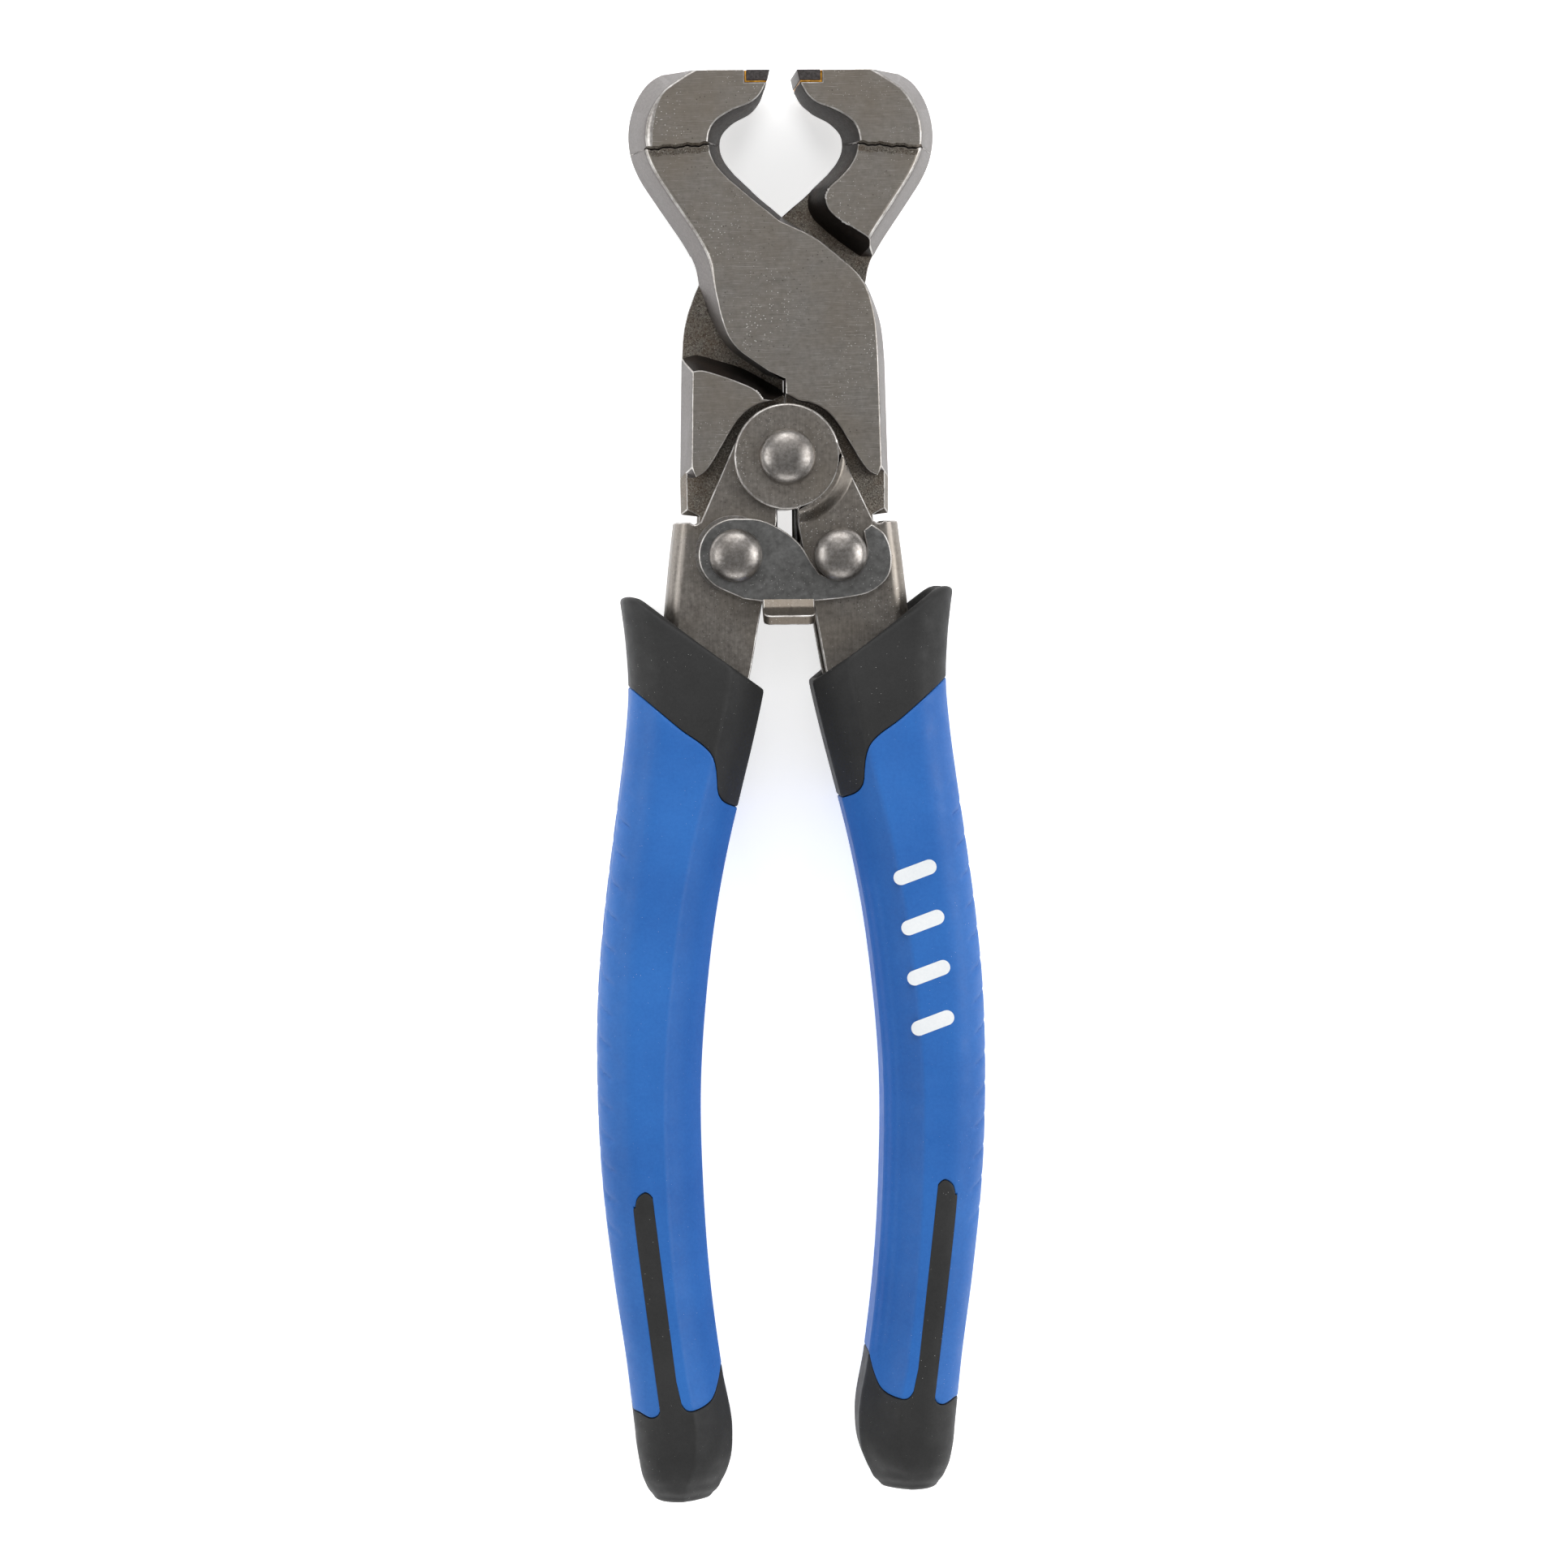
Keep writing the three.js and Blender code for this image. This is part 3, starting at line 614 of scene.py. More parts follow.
def head_side():
    """Outer side of the head, from the lap up to above the tip."""
    return curve(6, (-12.4, 74.6, 1.9), (-12.9, 77.2, 1.9), (-14.1, 79.8, 1.9), (-18.6, 86.6, 1.9),
                 (-20.9, 90.2, 2.0), (-22.1, 93.2, 2.0), (-22.5, 96.4, 2.1), (-22.1, 99.4, 2.2),
                 (-21.0, 102.2, 2.4), (-19.3, 104.4, 2.4), (-16.9, TOP_Y + 0.3, 2.1), (-13.6, 107.4, 1.8),
                 (-10.5, TOP_Y + 3, 1.5))


def pad_edge():
    """Where the raised body ends and the tail runs on into the handle."""
    return curve(6, (0.6, 58.0), (2.0, 57.3), (3.5, 57.0), (5.1, 56.3), (6.5, 55.2), (7.9, 53.4),
                 (9.4, 50.9), (10.9, 48.4), (12.1, 46.9), (13.3, 46.2))


def jaw_outline():
    return outline(
        mouth_edge(),
        curve(7, (0, 84.6, 1.2), (4.6, 81.6, 0.5), (8.2, 78.8, 0.5), (10.9, 76.3, 0.5), (12.4, 74.6, 0.7)),
        curve(7, (12.4, 74.6, 0.7), (13.2, 72.8, 0.8), (14.4, 69.2, 1.2), (14.9, 65.6, 1.4),
              (15.2, 56.6, 1.4)),
        line((15.3, 51, 1.4), (15.4, 46.1, 1.4), (13.3, 46.2)),
        pad_edge()[::-1],
        line((CHEEK_GAP, 58.3), (CHEEK_GAP, 60.5)),
        curve(6, (-2.6, 61.3, 0.3), (-5.2, 63.1, 0.3), (-7.3, 64.6, 0.4), (-9.0, 66.5, 0.7),
              (-10.4, 69.2, 1.1), (-11.4, 71.8, 1.5), (-12.4, 74.6, 1.9)),
        head_side(),
    )


def jaw_rim(p):
    """Radius of the rim: the head's outer edge is ground over, the stop is sharp, the rest is worn."""
    x, y = p[0], p[1]
    if abs(x) < 0.3 and 57.5 < y < 61.5:
        return 0.04
    if x < -10.8 and y > 73:
        return 0.3 + 0.45 * min(1, (y - 73) / 4) * min(1, max(0, (100 - y) / 5))
    return 0.26


def step_line(x):
    """Height of the foot of the nose step: a slightly wandering line across the head."""
    base = np.interp(x, (-24, -19, -15, -10.8, -9, -7), (93.7, 94.1, 94.4, 94.7, 95.2, 96))
    return base + 0.1 * math.sin(x * 2.1) + 0.06 * math.sin(x * 5.3 + 1)


def nose(worn):
    """Raised end of the head; worn is how far its outer rim has been rubbed down."""
    whole = outline([p for p in mouth_edge() if p[1] > 91], [p for p in head_side() if p[1] > 88])
    whole = [p * (1, 1, 1.1) for p in whole]

    def rim(p):
        share = min(1, max(0, (103.8 - p[1]) / 5)) * min(1, max(0, (p[1] - 92.5) / 2))
        return 0.26 + worn * share if p[0] < -10.8 else 0.26

    made = drafted_slab("nose", whole, NOSE_FACE, rim, (RIM, RIM))
    below = [padded((x, step_line(x))) for x in np.linspace(-24, -6, 60)] + line((-6, 80), (-24, 80))
    raised = [padded((p[0], p[1] + (0.5 if p[1] > 81 else 0))) for p in below]
    step = [at_height(raised, -NOSE_FACE - 0.3), at_height(below, -JAW_FACE + 0.1),
            at_height(below, JAW_FACE - 0.1), at_height(raised, NOSE_FACE + 0.3)]
    return cut(made, loft("step", step, [BLASTED] * 3, BLASTED))


def along_step(section, place):
    """Cutters that follow the foot of the nose step on both faces; section is [up the jaw, out] pairs."""
    made = []
    for side in (1, -1):
        rings = [np.array([(x, step_line(x) + a, side * (JAW_FACE + b)) for a, b in section])
                 for x in np.linspace(-24, -5, 64)]
        made.append(loft("along_step", rings, [place] * (len(rings) - 1), place))
    return made


def tongue_outline():
    """The thin tail, with a notch round the handle pivot's bush and spring."""
    notch, inner = 6.6, 2.6
    bottom = -math.degrees(math.acos(inner / notch))
    return outline(
        line((CHEEK_GAP, 58.3), (CHEEK_GAP, HANDLE_PIVOT[1] + notch)),
        arc(HANDLE_PIVOT, notch, 88, bottom, 40),
        arc(JAW_RIVET, 5.6, 180, 360, 40),
        line((12.8, 40.5), (15.35, 40.8, 0.78), (15.4, 46.1, 0.78), (15.3, 50, 0.95), (14.2, 54), (8, 57)),
    )


def lap_recess():
    """What the lap leaves out of the back half: blasted floor and sloping end walls."""
    shared = [(6, 92), (24, 80)]
    foot = outline(
        line((-20, 78.7), (-11.6, 78.7)),
        curve(5, (-11.6, 78.7), (-8.4, 81.0), (-6.0, 83.0), (-4.5, 84.6), (-3.9, 86.4), (-4.3, 88.4)),
        line(*shared, (24, 63.9), (14.6, 63.9)),
        curve(5, (14.6, 63.9), (12.9, 64.3), (9.7, 63.5), (6.2, 62.4), (3.7, 61.1), (1.5, 59.8)),
        line((-1, 58.2), (-20, 58.2)),
    )
    edge = outline(
        line((-20, 80.9), (-13.7, 80.9)),
        curve(5, (-13.7, 80.9), (-10.4, 82.9), (-7.9, 84.4), (-6.9, 85.6), (-6.6, 87.2), (-7.6, 89.2)),
        line(*shared, (24, 60.6), (14.6, 60.6)),
        curve(5, (14.6, 60.6), (12.6, 61.2), (9.7, 60.5), (6.6, 59.3), (4.6, 58.3), (3.8, 57.0)),
        line((-1, 56.4), (-20, 56.4)),
    )
    # The sloping walls get painted shade; the floor is blasted.
    return loft("recess", [at_height(edge, -NOSE_FACE - 0.4), at_height(foot, LAP_GAP)], [PAINTED_SHADE_PLACE], BLASTED)


def jaw(pin_clearance, worn):
    seat, seat_y = CARBIDE_BACK - SEAM - SEAT_FIT, TOP_Y - CARBIDE_DEPTH - SEAM - SEAT_FIT
    clear = NOSE_FACE + 1
    flat = tongue_outline()
    lean = np.array(flat)[:, 2]
    rings = [np.column_stack([inset(flat, lean * abs(z) / TONGUE_FACE), np.full(len(flat), float(z))])
             for z in (-TONGUE_FACE, 0, TONGUE_FACE)]
    tongue = loft("tongue", rings, [BLASTED] * 2, BLASTED)
    made = join(drafted_slab("jaw", jaw_outline(), JAW_FACE, jaw_rim), tongue, nose(worn))
    made = cut(
        made,
        lap_recess(),
        *along_step([(0.1, 0.2), (-0.3, -0.09), (-0.75, -0.07), (-1.15, 0.03), (-1.2, 0.2)], BLASTED),
        # A thin groove of painted shade along the foot of the nose step.
        *along_step([(0.12, 0.3), (0.04, -0.35), (-0.2, 0.3)], PAINTED_SHADE_PLACE),
        box((-26, TOP_Y, -clear), (2, TOP_Y + 8, clear), FLAT),
        box((seat, seat_y, -clear), (0, TOP_Y + 1, clear), BLASTED),
        cylinder(JAW_PIVOT, PIN_R + pin_clearance, -1, PIN_HALF + 0.15, WALL),
        cylinder(JAW_RIVET, JAW_SHANK_R + RUNNING, -NOSE_FACE, NOSE_FACE, WALL),
    )

    def off_the_step(p):
        return not (abs(p.z) > 6.7 and p.x < -6 and 92.4 < p.y < 97)

    made = soften(made, 0.14, wanted=off_the_step)
    # Painted shade: walls, rims and blasted seams inside the mouth take the near-black painted-shade steel.
    for face in made.data.polygons:
        x, y, z = face.center
        seam = abs(z) < 6.3 and face.material_index in (RIM, BLASTED)
        if x > -10.3 and y > 84.3 and (face.material_index == WALL or seam):
            face.material_index = PAINTED_SHADE_PLACE
    return made


def carbide_tip():
    bottom = TOP_Y - CARBIDE_DEPTH
    points = outline(line((TIP_X, TOP_Y), (CARBIDE_BACK, TOP_Y), (CARBIDE_BACK, bottom), (-2.35, bottom)))
    return soften(slab("tip", points, -NOSE_FACE + 0.1, NOSE_FACE - 0.1), 0.08, place=-1)


def braze_seam():
    top, front = TOP_Y - CARBIDE_DEPTH - SEAT_FIT / 2, CARBIDE_BACK - SEAT_FIT / 2
    points = outline(line((-2.45, top), (front, top), (front, TOP_Y - 0.1), (front - SEAM, TOP_Y - 0.1),
                          (front - SEAM, top - SEAM), (-2.5, top - SEAM)))
    return soften(slab("seam", points, -NOSE_FACE + 0.15, NOSE_FACE - 0.15), 0.06, place=-1)


JAW_LOOKS = [GROUND, EDGE, SAND, SIDE, PAINTED_SHADE]
front_jaw = jaw(RUNNING, 0.75)
rear_jaw = jaw(0.1, 0.1)
piece(front_jaw, "front_jaw_forging", "front_jaw", JAW_LOOKS)
piece(rear_jaw, "rear_jaw_forging", "rear_jaw", JAW_LOOKS, True)
for side, over in (("front", False), ("rear", True)):
    piece(carbide_tip(), f"{side}_carbide_bar", f"{side}_jaw_carbide_tip", [CARBIDE], over)
    piece(braze_seam(), f"{side}_brass_seam", f"{side}_jaw_braze", [BRAZE], over)
half_pin = [(PIN_R, PIN_HALF - 0.4), (PIN_R - 0.4, PIN_HALF), (0, PIN_HALF)]
pin = lathe("pin", [(r, -z) for r, z in half_pin[::-1]] + half_pin, JAW_PIVOT)
piece(pin, "jaw_pin", "jaw_pivot_pin", [BLUED])


# ---- handle frames: drawn as the right one, joggled eye in front ----

CHANNEL = np.array([
    [CHANNEL_TOP_Y, 1.5, 16.4], [33, 2.7, 17.2], [27, 3.9, 17.8], [16, 5.9, 19.0], [6, 8.4, 20.4],
    [-8, 12.0, 22.7], [-24, 15.2, 24.8], [-42, 16.7, 25.7], [-62, 16.2, 24.6], [CHANNEL_END_Y, 14.0, 21.0],
])


def smooth_table(table, y):
    """Cubic reading of a table whose first column falls, at one height or at many."""
    xs, ys = table[::-1, 0], table[::-1, 1:]
    slope = np.gradient(ys, xs, axis=0)
    y = np.clip(np.asarray(y, float), xs[0], xs[-1])
    k = np.clip(np.searchsorted(xs, y) - 1, 0, len(xs) - 2)
    h = (xs[k + 1] - xs[k])[..., None]
    t = ((y - xs[k])[..., None]) / h
    return ((2 * t**3 - 3 * t**2 + 1) * ys[k] + (t**3 - 2 * t**2 + t) * h * slope[k]
            + (3 * t**2 - 2 * t**3) * ys[k + 1] + (t**3 - t**2) * h * slope[k + 1])


def channel_ring(y):
    inner, outer = smooth_table(CHANNEL, y)
    big, small, web = 2.5, 0.5, outer - SHEET

    def bend(x, z, radius, start, end, steps):
        return [(p[0], p[1]) for p in arc((x, z), radius, start, end, steps)]

    section = [(inner, -CHANNEL_OUTSIDE)]
    section += bend(outer - big, big - CHANNEL_OUTSIDE, big, -90, 0, 10)
    section += bend(outer - big, CHANNEL_OUTSIDE - big, big, 0, 90, 10)
    section += [(inner, CHANNEL_OUTSIDE), (inner, CHANNEL_INSIDE)]
    section += bend(web - small, CHANNEL_INSIDE - small, small, 90, 0, 4)
    section += bend(web - small, small - CHANNEL_INSIDE, small, 0, -90, 4)
    section += [(inner, -CHANNEL_INSIDE)]
    return np.array([(x, y, z) for x, z in section])


def wall_outline(*top):
    return outline(
        *top,
        line((1.5, CHANNEL_TOP_Y), (2.7, 33), (12, 33), (13.6, 38), (12.6, CHANNEL_TOP_Y + 0.2)),
    )


def handle_frame():
    ys = [CHANNEL_TOP_Y, 37, 33, 30] + list(np.arange(27, CHANNEL_END_Y, -3.0)) + [CHANNEL_END_Y]
    channel = loft("channel", [channel_ring(y) for y in ys])

    def crease(r0, z0, r1, z1, steps=7):
        """A smooth step between two heights."""
        t = np.linspace(0, 1, steps + 1)
        s = t * t * (3 - 2 * t)
        return list(zip(r0 + (r1 - r0) * t, z0 + (z1 - z0) * s))

    profile = ([(0, EYE_LIFT)] + crease(EYE_R + 0.1, EYE_LIFT, EYE_R + 1.3, CHANNEL_INSIDE)
               + [(30, CHANNEL_INSIDE), (30, CHANNEL_OUTSIDE)]
               + crease(EYE_R + 2.6, CHANNEL_OUTSIDE, EYE_R + 0.2, EYE_TOP) + [(0, EYE_TOP)])
    joggled = lathe("joggle", profile, HANDLE_PIVOT, 160)
    wedge = line((7.1, 51.7), (3.4, 46.5), (1.45, 41.7))
    joggled = boolean("INTERSECT", joggled, slab("prism", wall_outline(wedge), 0, EYE_TOP + 1))
    around_eye = arc(HANDLE_PIVOT, EYE_R, 20, 281, 90)
    back = slab("back", wall_outline(around_eye), -CHANNEL_OUTSIDE, -CHANNEL_INSIDE)
    low, high, worn = EYE_LIFT - 0.02, EYE_TOP + 0.03, 0.34
    quarter = np.linspace(0, math.pi / 2, 5)
    rim = [(EYE_R - worn * (1 - math.cos(a)), worn * (1 - math.sin(a))) for a in quarter]
    lower, upper = [(r, low + down) for r, down in rim[::-1]], [(r, high - down) for r, down in rim]
    looks = [FLAT, RIM, RIM, RIM, RIM, FLAT, RIM, RIM, RIM, RIM, FLAT]
    eye = lathe("eye", [(0, low), *lower, *upper, (0, high)], HANDLE_PIVOT, 128, looks)
    made = cut(
        join(channel, back, joggled, eye),
        cylinder((13.55, 40.1), 0.85, -CHANNEL_OUTSIDE - 1, CHANNEL_OUTSIDE + 1, FLAT, 32),
        cylinder(HANDLE_PIVOT, HANDLE_SHANK_R + RUNNING, -EYE_TOP - 1, EYE_TOP + 1),
        cylinder(JAW_RIVET, JAW_SHANK_R + RUNNING, -EYE_TOP, EYE_TOP),
    )
    return soften(made, 0.22, 42, 3)


for side, over in (("right", False), ("left", True)):
    piece(handle_frame(), f"{side}_frame", f"{side}_handle_frame", [SHEETED, EDGE], over)


# ---- rivets, bush, washer and spring ----


def fillet(profile, radius=0.12):
    """Rounds the inner corners of a turned profile a little."""
    out = [profile[0]]
    for a, b, c in zip(profile, profile[1:], profile[2:]):
        a, b, c = np.array(a, float), np.array(b, float), np.array(c, float)
        to_a, to_c = a - b, c - b
        la, lc = np.linalg.norm(to_a), np.linalg.norm(to_c)
        bend = abs(to_a[0] * to_c[1] - to_a[1] * to_c[0]) / (la * lc)
        if bend < 0.45 or b[0] < 1e-6:
            out.append(tuple(b))
            continue
        r = min(radius, la / 2.2, lc / 2.2)
        p, q = b + to_a / la * r, b + to_c / lc * r
        out += [tuple(p), tuple(p * 0.25 + b * 0.5 + q * 0.25), tuple(q)]
    return out + [profile[-1]]


def dome(radius, seat, height=2.6, rim=0.5):
    """A hammered dome: short cylindrical rim, crowned head, faint facet on top."""
    points = [(radius, seat + rim * 0.6)]
    for a in np.linspace(0, math.pi / 2, 25)[1:]:
        r = radius * math.cos(a)
        z = seat + rim + (height - rim) * math.sin(a) ** 0.92
        points.append((r, z - 0.06 * math.exp(-((r / 0.9) ** 2))))
    return points


def pivot_rivet():
    seat = EYE_TOP + 0.05
    profile = fillet([(0, -GRIP_FACE), (4.0, -GRIP_FACE), (4.4, -GRIP_FACE + 0.4), (4.4, -seat),
                      (HANDLE_SHANK_R, -seat), (HANDLE_SHANK_R, seat), (4.1, seat)])
    return lathe("rivet", profile + dome(4.1, seat), HANDLE_PIVOT)


def jaw_rivet(x, neck):
    back, seat = -CHANNEL_OUTSIDE - 0.05, LATCH_TOP + 0.1
    profile = fillet([(0, back - 1.9), (3.4, back - 1.9), (3.9, back - 1.4), (3.9, back), (JAW_SHANK_R, back),
                      (JAW_SHANK_R, CHANNEL_OUTSIDE), (neck, CHANNEL_OUTSIDE + 0.05), (neck, seat),
                      (3.9, seat)])
    return lathe("rivet", profile + dome(3.9, seat), (x, JAW_RIVET[1]))


def bush():
    half, bore = CHANNEL_INSIDE - 0.05, HANDLE_SHANK_R + RUNNING
    made = lathe("bush", fillet([(0, -half), (4.4, -half), (4.4, half), (0, half)], 0.3), HANDLE_PIVOT)
    return cut(made, cylinder(HANDLE_PIVOT, bore, -9, 9))


def washer():
    top = WASHER_Z + WASHER_THICK
    made = lathe("washer", fillet([(0, WASHER_Z), (5.7, WASHER_Z), (5.7, top), (0, top)], 0.12),
                 (-JAW_RIVET[0] - 0.2, JAW_RIVET[1] + 0.2))
    return cut(made, cylinder((-JAW_RIVET[0], JAW_RIVET[1]), JAW_SHANK_R + RUNNING, 0, 9))


def spring():
    """Torsion spring: four turns round the bush and two straight legs."""
    wire, coil_r, half, leg_x, lean = 0.6, 5.3, 3.1, 1.5, 16
    sweep = 4 * 360 - 2 * lean
    cx, cy = HANDLE_PIVOT
    turns = []
    for k in range(241):
        a = math.radians(-90 - lean - sweep * k / 240)
        turns.append((cx + coil_r * math.cos(a), cy + coil_r * math.sin(a), -half + 2 * half * k / 240))
    legs = [[(x, y, z) for y in (41.5, 38.5, 35.5)] for x, z in ((-leg_x, -half), (leg_x, half))]
    path = catmull(legs[0][::-1] + turns[::6] + legs[1], 6)
    rings = []
    for k, p in enumerate(path):
        ahead = Vector(path[min(k + 1, len(path) - 1)] - path[max(k - 1, 0)]).normalized()
        u = ahead.cross(Vector((0, 0, 1))).normalized()
        v = ahead.cross(u)
        rings.append(np.array([tuple(Vector(p) + wire * (u * math.cos(t) + v * math.sin(t)))
                               for t in np.linspace(0, 2 * math.pi, 15)[:-1]]))
    return loft("spring", rings)


for made, name, node in ((pivot_rivet(), "pivot_rivet_head", "handle_pivot_rivet"),
                         (jaw_rivet(JAW_RIVET[0], NECK_R), "right_rivet_head", "right_jaw_rivet"),
                         (jaw_rivet(-JAW_RIVET[0], JAW_SHANK_R), "left_rivet_head", "left_jaw_rivet")):
    piece(made, name, node, [RIVET], weighted=False)
piece(bush(), "pivot_bush", "handle_pivot_bush", [BLUED])
piece(washer(), "thin_washer", "latch_washer", [RIVET, EDGE])
piece(spring(), "torsion_spring", "opening_spring", [BLUED], weighted=False, smooth=60)


# ---- latch ----

TAB_HALF = 3.8


def latch():
    """Plate with an eye, a hook that opens upwards, and a thumb tab bent up below, in a darker, browner sheet
    colour.
    """
    plan = outline(
        arc((-JAW_RIVET[0], JAW_RIVET[1]), 5.4, 250, 90, 44),
        curve(8, (-7.7, 40.1), (-4.2, 39.9), (-1.2, 38.6), (1.6, 36.4), (3.4, 33.6)),
        curve(8, (4.6, 31.9), (7.2, 31.0), (10.0, 31.9), (11.5, 34.4), (11.1, 38.2)),
        curve(8, (12.3, 39.1), (14.2, 37.6), (15.2, 34.4), (14.7, 31.4), (12.4, 29.3), (9.0, 28.4),
              (TAB_HALF, 27.9)),
        line((-TAB_HALF, 27.9), (-6.6, 28.3)),
    )
    z, top = LATCH_Z, LATCH_TOP
    rings = []
    for x, short in ((TAB_HALF, 1.1), (3.7, 0.6), (3.45, 0.25), (3.1, 0.06), (2.7, 0.0)):
        back, down = 0.48 * short, 0.87 * short
        under, over = (24.4 + back, z + 4.1 - down), (25.8 + back, z + 4.9 - down)
        side = (catmull([(28.6, z), (27.4, z), (26.6, z + 0.35), (26.0, z + 1.2), under], 4)
                + catmull([over, (26.9, z + 2.5), (27.5, top + 0.45), (28.2, top)], 4)
                + [np.array((28.6, top))])
        rings.append(np.array([(x, p[0], p[1]) for p in side]))
    rings = [ring * (-1, 1, 1) for ring in rings] + rings[::-1]
    tab_place = 2
    tab = loft("tab", rings, [tab_place] * (len(rings) - 1), tab_place)
    made = join(slab("plate", plan, z, top), tab)
    made = soften(made, 0.2, 40, 3)
    return cut(made, cylinder((-JAW_RIVET[0], JAW_RIVET[1]), JAW_SHANK_R + RUNNING, 0, 12))


piece(latch(), "latch_plate", "lock_latch", [BLUED, EDGE, DARK_BROWN_TAB])


# ---- grips: drawn as the right one ----

GRIP = np.array([
    [31, 1.4, 24.7, 10.5], [22, 2.6, 23.6, 10.5], [15.4, 3.6, 23.3, 10.5], [8.6, 5.1, 23.8, 10.5],
    [1.4, 6.9, 24.7, 10.5], [-8, 9.2, 26.0, 10.5], [-18, 11.1, 27.3, 10.5], [-29, 12.5, 28.3, 10.5],
    [-43, 13.5, 28.6, 10.5], [-58, 13.3, 28.0, 10.5], [-72, 12.4, 26.5, 10.5], [-85, 10.8, 24.7, 10.5],
    [-94, 9.4, 23.7, 10.5], [-98.5, 9.8, 23.2, 10.3], [-101.4, 10.9, 22.5, 9.4], [-103.4, 12.2, 21.4, 7.7],
    [-104.6, 14.2, 20.0, 5.4], [-105, 16.4, 18.6, 2.4],
])
CORNER_R = 5.6
FACET = 0.7  # how flat the inner corners are, from 0 for round to 1 for a plain chamfer

STRIP_EDGE = 72.9  # angle round the front outer corner where the black strip's outer edge lies
STRIP_SHARE = 0.39  # and how far its inner edge lies across the flat
WALL_ANGLE, WALL_SHARE = 1.3, 0.04  # the narrow columns along the strip's two sides


def columns():
    """Places round a grip's section: corner, angle, next corner, share of the flat, in the strip.

    Corners go counter-clockwise from the outer front one. A flat is a share of the way between
    the end of one corner and the start of the next.
    """
    cols = []

    def corner(c, angles, strip=lambda a: False):
        cols.extend((c, 90 * c + a, c, 0.0, strip(a)) for a in angles)

    def flat(c, shares, strip=lambda s: False):
        cols.extend((c, 90 * (c + 1), (c + 1) % 4, s, strip(s)) for s in shares)

    outer = list(np.linspace(0, STRIP_EDGE - WALL_ANGLE, 15)) + list(np.linspace(STRIP_EDGE, 90, 7))
    across = (list(np.linspace(0, STRIP_SHARE, 6)[1:])
              + list(np.linspace(STRIP_SHARE + WALL_SHARE, 1, 8)[:-1]))
    corner(0, outer, lambda a: a > STRIP_EDGE - 0.1)
    flat(0, across, lambda s: s < STRIP_SHARE + 0.01)
    corner(1, np.linspace(0, 90, 17))
    flat(1, np.linspace(0, 1, 20)[1:-1])
    corner(2, np.linspace(0, 90, 17))
    flat(2, [1 - s for s in across[::-1]], lambda s: s > 1 - STRIP_SHARE - 0.01)
    corner(3, [90 - a for a in outer[::-1]], lambda a: a < 90 - STRIP_EDGE + 0.1)
    flat(3, np.linspace(0, 1, 26)[1:-1])
    return [np.array(values) for values in zip(*cols)]


COL_A, COL_ANGLE, COL_B, COL_SHARE, IN_STRIP = columns()
COL_ANGLE = np.radians(COL_ANGLE.astype(float))
SIGN_X, SIGN_Z = np.array([1, -1, -1, 1]), np.array([1, 1, -1, -1])


def grip_points(y, skin):
    """Every column's point at its own height y, a skin's depth under the surface."""
    y = np.broadcast_to(np.asarray(y, float), COL_ANGLE.shape)
    inner, outer, face = np.moveaxis(smooth_table(GRIP, y), -1, 0)
    mid, half, z = (inner + outer) / 2, (outer - inner) / 2 - skin, face - skin
    radius = np.minimum(np.minimum(CORNER_R - skin / 2, half - 0.05), z - 0.05)

    def corner(which, angle):
        """The inner corners are nearly flat facets, the outer ones are round."""
        off = np.abs(np.mod(angle, math.pi / 2) - math.pi / 4)
        off = np.where(np.isclose(off, math.pi / 4), math.pi / 4, off)
        facet = np.where((which == 1) | (which == 2), FACET, 0.0)
        reach = radius * (1 - facet + facet * math.cos(math.pi / 4) / np.cos(off))
        x = mid + SIGN_X[which] * (half - radius) + reach * np.cos(angle)
        return x, SIGN_Z[which] * (z - radius) + reach * np.sin(angle)

    xa, za = corner(COL_A, COL_ANGLE)
    xb, zb = corner(COL_B, COL_ANGLE)
    return np.column_stack([xa + (xb - xa) * COL_SHARE, y, za + (zb - za) * COL_SHARE])


def edge_points(lift, *runs):
    """A boundary between rubbers in plan, moved up the grip by the lift."""
    return np.array([p[:2] for run in runs for p in run]) + (0, lift)


TOP_EDGE = edge_points(
    0.7,
    curve(6, (7.8, -2.4), (9.7, -1.5), (10.6, -0.2), (10.9, 3.2), (11.5, 5.4), (12.9, 6.9), (15.9, 9.0),
          (19.6, 12.1), (22.9, 14.9)), line((34, 22.6)))
INNER_LOBE = edge_points(
    1.6,
    curve(6, (10.6, -83.9), (11.5, -88.4), (12.5, -90.6), (14.2, -91.6), (16.2, -91.8), (17.3, -90.4),
          (17.75, -87.5)))
OUTER_LOBE = edge_points(
    1.6, curve(6, (20.2, -90), (20.4, -92.2), (21.6, -92.9), (23.4, -92.2)), line((34, -92.2)))
STRIP_TOP = edge_points(
    1.5, curve(6, (20.75, -62), (20.95, -60.3), (22.1, -59.4), (23.3, -60.2), (23.6, -61.6)))
MOUTH = edge_points(0, line((-6, 9.2), (22.4, 28.78)), curve(4, (23.2, 29.2), (24.0, 29.3), (24.8, 28.9)))


def height_on(edge, low, high):
    """Height at which each column meets a boundary drawn in plan, found by halving."""
    low, high = np.full(len(COL_A), float(low)), np.full(len(COL_A), float(high))
    for _ in range(40):
        y = (low + high) / 2
        above = y > np.interp(grip_points(y, 0)[:, 0], edge[:, 0], edge[:, 1])
        low, high = np.where(above, low, y), np.where(above, y, high)
    return y


def cover_edges():
    top = height_on(TOP_EDGE, -6, 24)
    inner, outer = height_on(INNER_LOBE, -93, -80), height_on(OUTER_LOBE, -94, -86)
    strip = height_on(STRIP_TOP, -64, -56)
    beyond = grip_points(-80.0, 0)[:, 0] > 19.8
    ends = np.where(beyond, outer, inner)
    return top, np.where(IN_STRIP, strip, ends), ends


CHEVRON_PITCH, CHEVRON_DEPTH, CHEVRON_WIDTH = 4.6, 0.3, 0.34


